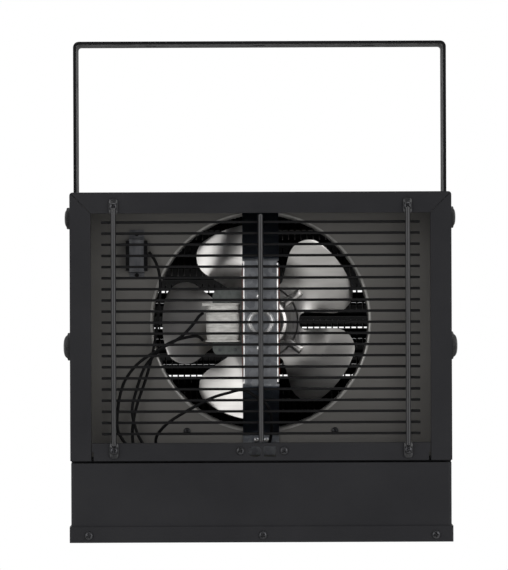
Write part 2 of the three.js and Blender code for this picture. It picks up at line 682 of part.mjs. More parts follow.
// ---- Motor -------------------------------------------------------------------------------------
const stackRearY = strapFlatY + 10;
const stackFrontY = stackRearY + stackThick;
const shaftEndY = strapFlatY + strapSteel + 1.5;
const shaft = disc(shaftRadius, 'y', shaftEndY - fanY, hubStart + hubLength + 2, 20);
add('motor_shaft', shaft, 'steel', fanGroup);
const rotor = cut(
  disc(rotorRadius, 'y', stackRearY - fanY + 1, stackFrontY - fanY - 1, 28),
  disc(shaftRadius + gap, 'y', -caseDepth, caseDepth, 16),
);
add('motor_rotor', rotor, 'steel', fanGroup);

const leg = { from: -47.5, to: -31, window: -20, half: 20 };
function motorStack() {
  const outline = rectangle(leg.from, motorStrapWidth / 2, -stackHalf, stackHalf, 8);
  const pocket = new THREE.Path();
  pocket.moveTo(leg.to, -leg.half).lineTo(leg.to, leg.half).lineTo(leg.window, leg.half);
  pocket.lineTo(leg.window, -leg.half).closePath();
  outline.holes.push(pocket);
  const body = prism(outline, 'y', stackRearY, stackFrontY, 4);
  return at(cut(body, disc(rotorRadius + 0.7, 'y', -caseDepth, caseDepth, 28)), 0, 0, fanZ);
}
add('motor_stack', motorStack(), 'laminations');

// Coil round the left leg, wound about Z and wrapped in tape.
function motorCoil() {
  const wall = 7.6;
  const slack = 0.5;
  const inner = [leg.from - slack, leg.to + slack, stackRearY - slack, stackFrontY + slack];
  const outer = rectangle(inner[0] - wall, inner[1] + wall, inner[2] - wall + 1, inner[3] + wall - 1, 5);
  outer.holes.push(rectangle(...inner));
  const half = leg.half - 1;
  return at(prism(outer, 'z', -half, half, 4), 0, 0, fanZ);
}
add('motor_coil', motorCoil(), 'tape');

// Bearing bracket: a strip across the laminations, raised in the middle over the bearing.
function bearingBracket(faceY, way, rise, halfWidth) {
  const thick = 1.5;
  const y = (d) => faceY + way * (gap + thick / 2 + d);
  const line = [[y(0), -31], [y(0), -20], [y(rise), -15], [y(rise), 15], [y(0), 20], [y(0), 31]];
  const body = prism(bentStrip(line, thick), 'x', -halfWidth, halfWidth);
  return at(cut(body, disc(shaftRadius + gap, 'y', -caseDepth, caseDepth, 16)), 0, 0, fanZ);
}
add('bearing_bracket_rear', bearingBracket(stackRearY, -1, 5, 13), 'galvanised');
add('bearing_bracket_front', bearingBracket(stackFrontY, 1, 5, 13), 'galvanised');

// Strap that carries the motor across the shroud opening.
function motorStrap() {
  const footReach = shroudRadius + 4.6;
  const flatHalf = footReach - motorStrapSlope;
  const y = shroudY - gap - strapSteel / 2;
  const flatY = strapFlatY + strapSteel / 2;
  const footTop = innerTopZ - 5 - fanZ;
  const footLow = shelfZ + sheet + 1 - fanZ;
  const line = [[y, footLow], [y, -footReach], [flatY, -flatHalf], [flatY, flatHalf],
    [y, footReach], [y, footTop]];
  const half = motorStrapWidth / 2;
  let body = prism(bentStrip(line, strapSteel), 'x', -half, half);
  const flangeDepth = 7;
  const flange = [-flatHalf + 6, flatHalf - 6];
  for (const side of [-1, 1]) {
    const x = [side * (half - strapSteel), side * half].sort((a, b) => a - b);
    body = body.add(block(x, [strapFlatY, strapFlatY + flangeDepth], flange));
  }
  const boss = turned([[8.7, -0.2], [10, 1.6], [12, 1.6], [13.3, -0.2], [8.7, -0.2]], 'y', 24);
  body = body.add(at(boss.mirror([0, 1, 0]), 0, strapFlatY, 0));
  return at(body, 0, 0, fanZ);
}
add('motor_strap', motorStrap(), 'galvanised');

// ---- Elements ----------------------------------------------------------------------------------
// A U of finned tube: two level runs joined by a half circle, with a thin pin on each end.
function heatingElement() {
  const radius = elementPitch / 2;
  const bendX = finnedHalf - 6;
  const endX = -outletWidth / 2 - 10;
  const pinLength = 8;
  const stations = [];
  const push = (x, z, turn, r) => stations.push([x, z, turn, r]);
  const run = (side, order) => {
    const list = [[endX - pinLength, 2], [endX, 2], [endX, tubeRadius]];
    const fins = Math.floor((bendX - 8 + finnedHalf) / finPitch);
    for (let i = 0; i < fins; i += 1) {
      const x = -finnedHalf + finPitch * (i + 0.5);
      list.push([x - finPitch / 2, tubeRadius], [x, finRadius]);
    }
    list.push([-finnedHalf + finPitch * fins, tubeRadius]);
    const ordered = order > 0 ? list : list.reverse();
    for (const [x, r] of ordered) push(x, side * radius, order > 0 ? 0 : PI, r);
  };
  run(-1, 1);
  const steps = 8;
  for (let i = 0; i <= steps; i += 1) {
    const turn = -PI / 2 + PI * (i / steps);
    push(bendX + radius * cos(turn), radius * sin(turn), turn + PI / 2, tubeRadius);
  }
  run(1, -1);
  return tubeOf(stations, 8);
}

// A round bar through stations of [x, z, heading, radius], its ends closed by flat caps.
function tubeOf(stations, count) {
  const position = [];
  const index = [];
  for (const [x, z, turn, r] of stations) {
    for (let k = 0; k < count; k += 1) {
      const a = (2 * PI * k) / count;
      position.push(x - sin(turn) * r * sin(a), r * cos(a), z + cos(turn) * r * sin(a));
    }
  }
  for (let s = 0; s + 1 < stations.length; s += 1) {
    for (let k = 0; k < count; k += 1) {
      const a = s * count + k;
      const b = s * count + ((k + 1) % count);
      index.push(a, b, b + count, a, b + count, a + count);
    }
  }
  const last = (stations.length - 1) * count;
  for (let k = 1; k + 1 < count; k += 1) {
    index.push(0, k + 1, k);
    index.push(last, last + k, last + k + 1);
  }
  const geometry = new THREE.BufferGeometry();
  geometry.setAttribute('position', new THREE.Float32BufferAttribute(position, 3));
  geometry.setIndex(index);
  const body = solid(geometry);
  return body.volume() > 0 ? body : solid(flipped(geometry));
}

const runZ = (i) => elementZ + (i - (2 * elementCount - 1) / 2) * elementPitch;
for (let i = 0; i < elementCount; i += 1) {
  const middle = (runZ(2 * i) + runZ(2 * i + 1)) / 2;
  const place = groupAt(0, elementY, middle);
  add(`heating_element_${elementCount - i}`, heatingElement(), 'elementBlack', place);
}

// Heat shield: an arch over the elements, pierced on the left for their ends.
const shieldX = outletWidth / 2 + 2;
function heatShield() {
  const top = innerTopZ - 6;
  const profile = arch(shieldX, top, shelfZ + gap, sheet, bendRadius);
  let body = prism(profile, 'y', fanY + 14, frontY - outletDepth - 2);
  for (let i = 0; i < 2 * elementCount; i += 1) {
    const hole = disc(tubeRadius + 1, 'x', -shieldX - 2, -shieldX + 4, 8);
    body = cut(body, at(hole, 0, elementY, runZ(i)));
  }
  return body;
}
add('heat_shield', heatShield(), 'galvanised');

// Support that the runs pass through beside their bends.
function elementSupport() {
  const x = finnedHalf - 10;
  const top = runZ(2 * elementCount - 1) + 12;
  const low = shelfZ + gap;
  const upright = block([x, x + 1.5], [elementY - 20, elementY + 20], [low, top]);
  let body = upright.add(block([x, x + 16], [elementY - 20, elementY + 20], [low, low + 1.5]));
  for (let i = 0; i < 2 * elementCount; i += 1) {
    body = cut(body, at(disc(tubeRadius + 1, 'x', x - 2, x + 4, 10), 0, elementY, runZ(i)));
  }
  return body;
}
add('element_support', elementSupport(), 'galvanised');

// ---- Intake grille: level wires behind three upright bars, the outer two with flat ends ----------
const grilleZ = shelfZ + railHeight + intakeHeight / 2;
function rearGrille() {
  const barY = rearY - gap - barRadius;
  const wireY = barY + barRadius + wireRadius - 0.4;
  const tab = { halfWidth: 4.3, length: 15.5, thick: 2 };
  const topBar = topZ - rearFlange + 8.5;
  const lowBar = shelfZ + railHeight - 6;
  const inner = [shelfZ + railHeight + 0.8, topZ - rearFlange - 1.4];
  let body = at(disc(barRadius, 'z', ...inner, 8), 0, barY, 0);
  for (const x of [-barSpread, barSpread]) {
    body = body.add(at(disc(barRadius, 'z', lowBar, topBar, 8), x, barY, 0));
    const ends = [[topBar - 8, topBar + 7.5], [lowBar - 7.5, lowBar + 8]];
    for (const [from, to] of ends) {
      const shape = rectangle(x - tab.halfWidth, x + tab.halfWidth, from, to, 2);
      body = body.add(prism(shape, 'y', barY + barRadius - tab.thick, barY + barRadius, 2));
    }
  }
  for (let i = 0; i < wireCount; i += 1) {
    const z = grilleZ + (i - (wireCount - 1) / 2) * wirePitch;
    body = body.add(at(disc(wireRadius, 'x', -wireLength / 2, wireLength / 2, 6), 0, wireY, z));
  }
  return body;
}
add('rear_grille', rearGrille(), 'wireBlack');

// ---- High limit switch on the shroud ------------------------------------------------------------
const limit = { x: -123.5, z: topZ - 61.5, half: 10.6, high: 15, deep: 8, strapHalf: 7.4 };
function limitBody() {
  const face = shroudY - gap;
  const body = block([-limit.half, limit.half], [face - limit.deep, face], [-limit.high, limit.high]);
  const waist = [-limit.strapHalf - 0.5, limit.strapHalf + 0.5];
  const recess = block(waist, [face - limit.deep - 1, face - limit.deep + 1.5], [-limit.high - 2, limit.high + 2]);
  return at(cut(body, recess), limit.x, 0, limit.z);
}
add('limit_switch_body', limitBody(), 'blackPlastic');

function limitBracket() {
  const thick = 0.8;
  const foot = shroudY - gap - thick / 2;
  const crown = foot - limit.deep + 0.6;
  const bend = limit.high + 1.2;
  const line = [[foot, -bend - 5.8], [foot, -bend - 0.4], [crown, 0.4 - bend], [crown, bend - 0.4],
    [foot, bend + 0.4], [foot, bend + 9.8]];
  return at(prism(bentStrip(line, thick), 'x', -limit.strapHalf, limit.strapHalf), limit.x, 0, limit.z);
}
add('limit_switch_bracket', limitBracket(), 'galvanised');

// ---- Leads, from the motor and the limit switch down through the floor ---------------------------
const leadRadius = 1.5;
const leadFloorY = leadHole.y;
const terminalTop = shelfZ - 36;
// Each route is a list of x, distance from the intake face, and depth as a part of the upper
// compartment's height. Under the floor a lead is given by its x at the floor, halfway and at the
// terminal.
const leads = {
  limit_lead: {
    route: [
      [-111, 56, 0.221], [-105.5, 53, 0.251], [-101, 51, 0.300], [-100, 51, 0.365],
      [-102, 52, 0.456], [-107, 53, 0.589], [-114, 53, 0.692], [-124, 51, 0.806],
      [-128, 47, 0.890], [-127, 42, 0.954],
    ],
    below: [-124, -120, -118],
  },
  motor_lead_a: {
    route: [
      [-57, 27, 0.452], [-61, 23, 0.464], [-66, 22, 0.490], [-80, 24, 0.544], [-105, 29, 0.597],
      [-123, 33, 0.646], [-136, 37, 0.715], [-142, 39, 0.810], [-142, 41, 0.897],
      [-133, 41, 0.958],
    ],
    below: [-130, -129, -129],
  },
  motor_lead_b: {
    route: [
      [-57, 33, 0.555], [-62, 32, 0.540], [-72, 31, 0.542], [-92, 33, 0.567], [-104, 36, 0.605],
      [-115, 38, 0.654], [-123, 40, 0.734], [-128, 41, 0.821], [-123, 41, 0.905],
      [-116, 41, 0.958],
    ],
    below: [-113, -109, -107],
  },
  earth_lead: {
    route: [
      [8, 55, 0.951], [10, 47, 0.916], [10.5, 29, 0.871], [9, 13, 0.825], [4, 4.5, 0.787],
      [-6, 4, 0.760], [-18, 4.5, 0.738], [-32, 8, 0.749], [-48, 14, 0.768], [-62, 18, 0.795],
      [-78, 23, 0.829], [-94, 29, 0.871], [-104, 37, 0.920], [-104, 41, 0.962],
    ],
    below: [-101, -98, -96],
  },
};
for (const [name, { route, below }] of Object.entries(leads)) {
  const points = route.map(([x, inset, drop]) => [x, rearY + inset, topZ - drop * upperHeight]);
  const levels = [shelfZ - 1, (shelfZ + terminalTop) / 2, terminalTop];
  below.forEach((x, i) => points.push([x, leadFloorY, levels[i]]));
  add(name, wire(points, leadRadius, 24), 'blackRubber');
}

// ---- Wiring compartment ---------------------------------------------------------------------------
// Terminal block on the compartment's left: a base with barriers between its terminals.
function terminalBlock() {
  const top = terminalTop - gap;
  const floor = baseZ + sheet + gap;
  const depth = [leadFloorY - 12, leadFloorY + 12];
  const terminals = 4;
  const pitch = 12.1;
  const wall = 1.6;
  const start = leadHole.x - (terminals * pitch) / 2;
  const end = start + terminals * pitch + wall;
  let body = block([start, end], depth, [floor, top - 8]);
  body = body.add(block([start + 2, end - 2], [leadFloorY - 5, leadFloorY + 5], [top - 9, top]));
  for (let i = 0; i <= terminals; i += 1) {
    const x = start + i * pitch;
    body = body.add(block([x, x + wall], depth, [top - 9, top - 2]));
  }
  return body;
}
add('terminal_block', terminalBlock(), 'blackPlastic');

// Contactor: a base with four terminals on each long edge, and a narrower housing on top.
const contactorAt = { x: 40, y: -40 };
function contactor() {
  const floor = baseZ + sheet + gap;
  const half = { x: 28, y: 22 };
  const inset = 8;
  const baseHigh = 30;
  const topHigh = 46;
  const terminals = 4;
  const pitch = 13.4;
  const slotWide = 9.8;
  const slotDeep = 6;
  const base = block([-half.x, half.x], [-half.y, half.y], [floor, floor + baseHigh]);
  const upper = block([inset - half.x, half.x - inset], [inset - half.y, half.y - inset],
    [floor + baseHigh - 1, floor + topHigh]);
  let body = base.add(upper);
  for (let i = 0; i < terminals; i += 1) {
    const x = (i - (terminals - 1) / 2) * pitch - slotWide / 2;
    for (const y of [[-half.y - 1, inset - half.y + 0.5], [half.y - inset - 0.5, half.y + 1]]) {
      body = cut(body, block([x, x + slotWide], y, [floor + baseHigh - slotDeep, floor + baseHigh + 1]));
    }
  }
  return at(body, contactorAt.x, contactorAt.y, 0);
}
add('contactor', contactor(), 'whitePlastic');

// Control panel, with the shafts of the thermostat and the selector switch through it.
const panelY = frontY - 0.4;
const controlZ = shelfZ - seam - 31;
const thermostatX = -80;
const selectorX = 80;
const lampX = 0;
const controlShaft = 3;
const lampRadius = 4;
function controlPanel() {
  const halfX = boxX - sheet - gap;
  const low = baseZ + sheet + gap;
  const high = lowerTopZ - sheet - gap;
  const pan = block([-halfX, halfX], [panelY - 12, panelY], [low, high]);
  const inside = [low + sheet, high - sheet];
  let body = cut(pan, block([-halfX + sheet, halfX - sheet], [panelY - 13, panelY - sheet], inside));
  for (const [x, r] of [[thermostatX, 5], [selectorX, 5], [lampX, lampRadius + gap]]) {
    body = cut(body, at(disc(r, 'y', panelY - 3, panelY + 2, 20), x, 0, controlZ));
  }
  return body;
}
add('control_panel', controlPanel(), 'caseBlack');

// Body of a control behind the panel, with a threaded neck that fills the panel's hole.
function controlBody(halfWidth, halfHeight, depth, neck) {
  const rear = panelY - sheet - gap;
  const box = block([-halfWidth, halfWidth], [rear - depth, rear], [-halfHeight, halfHeight]);
  const body = box.add(disc(neck, 'y', rear - 1, panelY + 1.4, 20));
  return cut(body, disc(controlShaft + gap, 'y', rear - 11, panelY + 3, 16));
}
add('thermostat_body', at(controlBody(22, 17, 26, 4.7), thermostatX, 0, controlZ), 'whitePlastic');
add('selector_switch', at(controlBody(17, 17, 24, 4.7), selectorX, 0, controlZ), 'blackPlastic');

// A knob: a skirt, a tapered grip with flutes, a pointer rib, and the shaft that it turns.
function controlKnob(radius, height) {
  const start = panelY + 1.4 + 0.6;
  const profile = [[0, 0], [radius, 0], [radius, 2.5], [radius * 0.82, 3.5], [radius * 0.74, height - 1],
    [radius * 0.7, height], [0, height]];
  const grip = turned(profile, 'y', 20);
  const rib = block([-1.2, 1.2], [2, height + 0.8], [0, radius * 0.95]);
  const stem = disc(controlShaft, 'y', -11, 1, 16);
  return at(join(grip, rib, stem), 0, start, 0);
}
add('thermostat_knob', controlKnob(17, 13), 'blackPlastic', groupAt(thermostatX, 0, controlZ));
add('selector_knob', controlKnob(14, 13), 'blackPlastic', groupAt(selectorX, 0, controlZ));

function pilotLamp() {
  const back = panelY - sheet - gap;
  const front = panelY + gap;
  const profile = [[0, back - 16], [lampRadius + 2, back - 16], [lampRadius + 2, back], [lampRadius, back],
    [lampRadius, front], [lampRadius + 1.4, front], [lampRadius + 1.4, front + 1.6],
    [lampRadius * 0.6, front + 3.2], [0, front + 3.6]];
  return at(turned(profile, 'y', 14), lampX, 0, controlZ);
}
add('pilot_lamp', pilotLamp(), 'amberLens');

export default heater;
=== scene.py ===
# %% [markdown]
# # A ceiling mounted fan heater
# The heater hangs in a strap bracket, and we look at its intake side: a wire grille, a round
# opening in a shroud plate, a fan with its small motor, and finned elements behind them.
# The sheet metal comes ready made as solids. This lesson gives every solid its finish, and makes
# the round, thin and woven pieces again as smooth surfaces.

# %% Start
import bpy
import numpy as np
from math import pi, radians
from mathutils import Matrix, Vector


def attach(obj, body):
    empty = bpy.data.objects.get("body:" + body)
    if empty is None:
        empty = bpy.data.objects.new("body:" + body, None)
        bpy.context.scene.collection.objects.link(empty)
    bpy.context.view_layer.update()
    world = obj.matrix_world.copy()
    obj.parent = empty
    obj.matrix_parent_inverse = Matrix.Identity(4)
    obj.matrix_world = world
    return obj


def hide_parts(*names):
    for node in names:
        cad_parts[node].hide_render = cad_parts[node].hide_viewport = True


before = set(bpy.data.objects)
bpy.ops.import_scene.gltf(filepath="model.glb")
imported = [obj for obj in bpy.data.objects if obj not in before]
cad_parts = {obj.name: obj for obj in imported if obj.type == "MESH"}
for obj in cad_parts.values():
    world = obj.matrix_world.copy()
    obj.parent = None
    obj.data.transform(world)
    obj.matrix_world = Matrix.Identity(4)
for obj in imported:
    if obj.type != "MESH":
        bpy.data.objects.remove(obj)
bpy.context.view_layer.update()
MM = 0.001
REAR, SHROUD_Y, FAN_Z = -165.0, -105.0, -288.0    # intake face, shroud plate and fan axis

# %% [markdown]
# ## The camera
# The picture is taken from the intake side, level with the middle of the whole heater, from
# nearly three metres away. A long lens keeps the case square. The picture is 508 x 570, and the
# lens fits its longer side. A quarter of a degree of roll follows the picture.

# %% Camera
camera_data = bpy.data.cameras.new("camera")
camera_data.lens = 176.55
camera_data.sensor_width = 36.0
camera = bpy.data.objects.new("camera", camera_data)
bpy.context.scene.collection.objects.link(camera)
camera.location = (-0.0065, -2.901, -0.2512)
camera.rotation_euler = (radians(90), radians(0.22), 0)
bpy.context.scene.camera = camera
bpy.context.scene.view_settings.view_transform = "Standard"
print("lens", camera_data.lens, "mm")

# %% [markdown]
# ## Floor, world and lamps
# A pale floor lies well below the hanging heater and takes its soft shadow. The world lights the
# object at a plain level, and looks white wherever the eye, a gloss or a clear piece meets it.
# Three soft boxes stand on the intake side and above, so that the folds and wires show.

# %% Floor and world
def new_floor(size, height):
    """A square of side size at the height, as one face."""
    mesh = bpy.data.meshes.new("floor")
    half = size / 2
    corners = [(-half, -half, height), (half, -half, height), (half, half, height), (-half, half, height)]
    mesh.from_pydata(corners, [], [(0, 1, 2, 3)])
    floor = bpy.data.objects.new("floor", mesh)
    bpy.context.scene.collection.objects.link(floor)
    paint = bpy.data.materials.new("floor_paint")
    paint.use_nodes = True
    shader = paint.node_tree.nodes["Principled BSDF"]
    shader.inputs["Base Color"].default_value = (0.86, 0.86, 0.85, 1)
    shader.inputs["Roughness"].default_value = 0.9
    mesh.materials.append(paint)
    return floor


new_floor(11.0, -1.35)
world = bpy.data.worlds.new("studio")
bpy.context.scene.world = world
world.use_nodes = True
tree = world.node_tree
background = tree.nodes["Background"]
background.inputs["Color"].default_value = (1, 1, 1, 1)
path = tree.nodes.new("ShaderNodeLightPath")
seen = tree.nodes.new("ShaderNodeMath")
seen.operation = "MAXIMUM"
tree.links.new(path.outputs["Is Camera Ray"], seen.inputs[0])
tree.links.new(path.outputs["Is Glossy Ray"], seen.inputs[1])
clear = tree.nodes.new("ShaderNodeMath")
clear.operation = "MAXIMUM"
tree.links.new(seen.outputs[0], clear.inputs[0])
tree.links.new(path.outputs["Is Transmission Ray"], clear.inputs[1])
level = tree.nodes.new("ShaderNodeMapRange")
level.inputs["To Min"].default_value = 0.5
level.inputs["To Max"].default_value = 1.0
tree.links.new(clear.outputs[0], level.inputs["Value"])
tree.links.new(level.outputs["Result"], background.inputs["Strength"])
print("world", background.inputs["Color"].default_value[:3])

# %% Soft boxes
def soft_box(name, place, width, height, power):
    """A square lamp of width x height that faces the middle of the heater."""
    lamp = bpy.data.lights.new(name, "AREA")
    lamp.shape = "RECTANGLE"
    lamp.size, lamp.size_y = width, height
    lamp.energy = power
    box = bpy.data.objects.new(name, lamp)
    bpy.context.scene.collection.objects.link(box)
    box.location = place
    aim = Vector((0, 0, -0.3)) - Vector(place)
    box.rotation_euler = aim.to_track_quat("-Z", "Y").to_euler()
    box.visible_camera = False
    return box


soft_box("box_left", (-2.1, -2.6, 0.8), 2.8, 2.8, 42)
soft_box("box_right", (2.1, -2.3, 0.4), 1.8, 2.2, 32)
soft_box("box_above", (0.2, 0.6, 2.4), 2.0, 1.6, 40)

# %% [markdown]
# Bare metal looks like what it faces. A studio is dark behind the camera and under its ceiling,
# so dark cards stand there. Only reflections meet them: they shade nothing and no eye sees them.

# %% Dark cards
def dark_card(name, place, width, height, shade=0.03):
    """A rectangle of width x height that faces the middle of the heater."""
    mesh = bpy.data.meshes.new(name)
    w, h = width / 2, height / 2
    mesh.from_pydata([(-w, -h, 0), (w, -h, 0), (w, h, 0), (-w, h, 0)], [], [(0, 1, 2, 3)])
    card = bpy.data.objects.new(name, mesh)
    bpy.context.scene.collection.objects.link(card)
    card.location = place
    card.rotation_euler = (Vector((0, 0, -0.3)) - Vector(place)).to_track_quat("-Z", "Y").to_euler()
    card.visible_camera = card.visible_diffuse = card.visible_shadow = card.visible_transmission = False
    cloth = bpy.data.materials.new(name)
    cloth.use_nodes = True
    shader = cloth.node_tree.nodes["Principled BSDF"]
    shader.inputs["Base Color"].default_value = (shade, shade, shade * 1.15, 1)
    shader.inputs["Roughness"].default_value = 1.0
    mesh.materials.append(cloth)
    return card


dark_card("card_behind", (0.1, -3.7, -0.2), 2.1, 1.9, 0.07)
dark_card("card_above", (-0.1, -2.0, 1.6), 3.4, 2.6)
dark_card("card_low", (-0.60, -0.90, -1.10), 1.3, 0.5)
print("three dark cards")

# %% [markdown]
# ## A small kit for finishes
# Each finish is a Principled shader with a few nodes in front of it. Noise in Object coordinates
# gives the surface its unevenness in real sizes, because every object sits at the origin and its
# coordinates are metres. One helper starts a finish, one varies its colour, one its roughness
# and one its height.

# %% Finish helpers
def finish(name, colour, metallic=0.0, roughness=0.5, specular=0.5):
    """A new material with a Principled shader, its fixed values set on the shader itself."""
    material = bpy.data.materials.new(name)
    material.use_nodes = True
    shader = material.node_tree.nodes["Principled BSDF"]
    shader.inputs["Base Color"].default_value = (*colour, 1)
    shader.inputs["Metallic"].default_value = metallic
    shader.inputs["Roughness"].default_value = roughness
    shader.inputs["Specular IOR Level"].default_value = specular
    return material


def grain(material, scale, stretch=(1, 1, 1), detail=3.0, roughness=0.55, kind="TexNoise"):
    """Noise of the given scale per metre in Object coordinates, stretched along the axes."""
    links = material.node_tree.links
    place = material.node_tree.nodes.new("ShaderNodeTexCoord")
    turn = material.node_tree.nodes.new("ShaderNodeMapping")
    turn.inputs["Scale"].default_value = stretch
    noise = material.node_tree.nodes.new("ShaderNode" + kind)
    noise.inputs["Scale"].default_value = scale
    if kind == "TexNoise":
        noise.inputs["Detail"].default_value = detail
        noise.inputs["Roughness"].default_value = roughness
    links.new(place.outputs["Object"], turn.inputs["Vector"])
    links.new(turn.outputs["Vector"], noise.inputs["Vector"])
    return noise


def spread(material, source, low, high, start=0.3, end=0.7):
    """Carries a value between start and end to one between low and high."""
    reach = material.node_tree.nodes.new("ShaderNodeMapRange")
    reach.inputs["From Min"].default_value = start
    reach.inputs["From Max"].default_value = end
    reach.inputs["To Min"].default_value = low
    reach.inputs["To Max"].default_value = high
    material.node_tree.links.new(source, reach.inputs["Value"])
    return reach.outputs["Result"]


def colours(material, source, stops):
    """A ramp through (position, colour) stops, into the shader's colour."""
    ramp = material.node_tree.nodes.new("ShaderNodeValToRGB")
    elements = ramp.color_ramp.elements
    while len(elements) < len(stops):
        elements.new(0.5)
    for element, (position, colour) in zip(elements, stops):
        element.position = position
        element.color = (*colour, 1)
    material.node_tree.links.new(source, ramp.inputs["Fac"])
    shader = material.node_tree.nodes["Principled BSDF"]
    material.node_tree.links.new(ramp.outputs["Color"], shader.inputs["Base Color"])
    return ramp


def relief(material, source, depth, strength=1.0):
    """Raises the surface by a value times the depth in metres."""
    bump = material.node_tree.nodes.new("ShaderNodeBump")
    bump.inputs["Distance"].default_value = depth
    bump.inputs["Strength"].default_value = strength
    links = material.node_tree.links
    shader = material.node_tree.nodes["Principled BSDF"]
    links.new(source, bump.inputs["Height"])
    if shader.inputs["Normal"].is_linked:
        links.new(shader.inputs["Normal"].links[0].from_socket, bump.inputs["Normal"])
    links.new(bump.outputs["Normal"], shader.inputs["Normal"])
    return bump


def rough(material, source):
    """Drives the roughness."""
    shader = material.node_tree.nodes["Principled BSDF"]
    material.node_tree.links.new(source, shader.inputs["Roughness"])


print("helpers ready")

# %% [markdown]
# ## Painted sheet
# Powder coat is a skin of melted grains. It is never quite flat, so it has a fine orange-peel
# relief about a millimetre wide, with a slower change in gloss where the coat is thicker. The
# case, the bracket, the wires and the shroud have the same recipe with other shades. The
# shroud's lip gets a half metal coat, lighter than the plate's, as a painted highlight on its bend.

# %% Powder coats
def powder_coat(name, dark, light, roughness, specular, peel=900, depth=0.00006):
    coat = finish(name, dark, 0.0, roughness, specular)
    slow = grain(coat, 14, detail=4)
    colours(coat, slow.outputs["Fac"], [(0.3, dark), (0.7, light)])
    fine = grain(coat, peel, detail=2, roughness=0.6)
    relief(coat, fine.outputs["Fac"], depth)
    patch = grain(coat, 60, detail=3)
    rough(coat, spread(coat, patch.outputs["Fac"], roughness - 0.05, roughness + 0.06))
    return coat


case_coat = powder_coat("case_coat", (0.015, 0.015, 0.017), (0.019, 0.019, 0.021), 0.52, 0.14)
bracket_coat = powder_coat("bracket_coat", (0.0075, 0.0075, 0.008), (0.010, 0.010, 0.0108), 0.52, 0.05)
wire_coat = powder_coat("wire_coat", (0.004, 0.004, 0.0045), (0.007, 0.007, 0.0075), 0.42, 0.12, 1400)
bar_coat = powder_coat("bar_coat", (0.010, 0.010, 0.011), (0.014, 0.014, 0.0155), 0.34, 0.5, 1400)
shroud_coat = powder_coat("shroud_coat", (0.112, 0.108, 0.101), (0.135, 0.130, 0.122), 0.5, 0.35, 700)
# The lip's lighter, half metal coat paints a highlight on the rolled bend of the grey sheet.
lip_coat = finish("lip_coat", (0.32, 0.315, 0.30), 0.7, 0.34, 0.5)
colours(lip_coat, grain(lip_coat, 60).outputs["Fac"],
        [(0.3, (0.26, 0.255, 0.243)), (0.7, (0.38, 0.372, 0.355))])
rough(lip_coat, spread(lip_coat, grain(lip_coat, 300).outputs["Fac"], 0.30, 0.42))
relief(lip_coat, grain(lip_coat, 700).outputs["Fac"], 0.00004)
print("six coats")

# %% [markdown]
# ## Bare metals
# Galvanised steel shows spangle, the crystals of zinc, as flat patches a few millimetres wide
# that each reflect a little differently. Rolled aluminium has soft streaks and slow waves. Zinc
# plate on screws is nearly even. Electrical steel shows the edges of its layers. No bare metal's
# roughness goes below 0.29, so that its reflections stay soft.

# %% Metals
galvanised = finish("galvanised", (0.42, 0.43, 0.45), 1.0, 0.4)
spangle = grain(galvanised, 210, kind="TexVoronoi")
colours(galvanised, spread(galvanised, spangle.outputs["Color"], 0, 1, 0.0, 1.0),
        [(0.0, (0.27, 0.28, 0.30)), (0.5, (0.40, 0.41, 0.43)), (1.0, (0.56, 0.57, 0.59))])
rough(galvanised, spread(galvanised, spangle.outputs["Color"], 0.32, 0.48, 0.0, 1.0))
relief(galvanised, grain(galvanised, 800).outputs["Fac"], 0.00003)

aluminium = finish("rolled_aluminium", (0.56, 0.55, 0.54), 1.0, 0.33)
streaks = grain(aluminium, 34, (1, 1, 3.5), detail=1.5, roughness=0.4)
colours(aluminium, streaks.outputs["Fac"], [(0.3, (0.50, 0.485, 0.47)), (0.7, (0.60, 0.585, 0.565))])
rough(aluminium, spread(aluminium, grain(aluminium, 25, detail=1).outputs["Fac"], 0.29, 0.37))
relief(aluminium, grain(aluminium, 22, detail=0.5, roughness=0.3).outputs["Fac"], 0.00035)

plated = finish("zinc_plated", (0.62, 0.62, 0.62), 1.0, 0.32)
colours(plated, grain(plated, 120).outputs["Fac"], [(0.3, (0.52, 0.52, 0.53)), (0.7, (0.70, 0.69, 0.67))])
rough(plated, spread(plated, grain(plated, 400).outputs["Fac"], 0.29, 0.42))
relief(plated, grain(plated, 1500).outputs["Fac"], 0.00002)

dull_zinc = finish("dull_zinc", (0.10, 0.10, 0.11), 0.85, 0.42)
colours(dull_zinc, grain(dull_zinc, 130, (1, 1, 0.3)).outputs["Fac"],
        [(0.3, (0.075, 0.077, 0.083)), (0.7, (0.16, 0.163, 0.172))])
rough(dull_zinc, spread(dull_zinc, grain(dull_zinc, 420).outputs["Fac"], 0.36, 0.5))
relief(dull_zinc, grain(dull_zinc, 700).outputs["Fac"], 0.00003)

black_zinc = finish("black_zinc", (0.045, 0.045, 0.048), 0.75, 0.3)
colours(black_zinc, grain(black_zinc, 200).outputs["Fac"],
        [(0.3, (0.030, 0.030, 0.032)), (0.7, (0.065, 0.065, 0.070))])
rough(black_zinc, spread(black_zinc, grain(black_zinc, 500).outputs["Fac"], 0.29, 0.40))
relief(black_zinc, grain(black_zinc, 1500).outputs["Fac"], 0.00002)

layers = finish("layered_steel", (0.10, 0.11, 0.105), 0.7, 0.5)
sheets = layers.node_tree.nodes.new("ShaderNodeTexWave")
sheets.bands_direction = "Y"
sheets.inputs["Scale"].default_value = 320
sheets.inputs["Distortion"].default_value = 0.6
where = layers.node_tree.nodes.new("ShaderNodeTexCoord")
layers.node_tree.links.new(where.outputs["Object"], sheets.inputs["Vector"])
colours(layers, sheets.outputs["Fac"], [(0.1, (0.036, 0.039, 0.038)), (0.8, (0.135, 0.146, 0.140))])
relief(layers, sheets.outputs["Fac"], 0.00008)
rough(layers, spread(layers, grain(layers, 500).outputs["Fac"], 0.42, 0.6))
print("six metals")

# %% [markdown]
# ## Plastics, rubber and tape
# Moulded plastic has a faint grain from its mould and soft rubber is duller. The glass tape on the
# winding is a plain weave: two waves at right angles, one for each way of the threads.

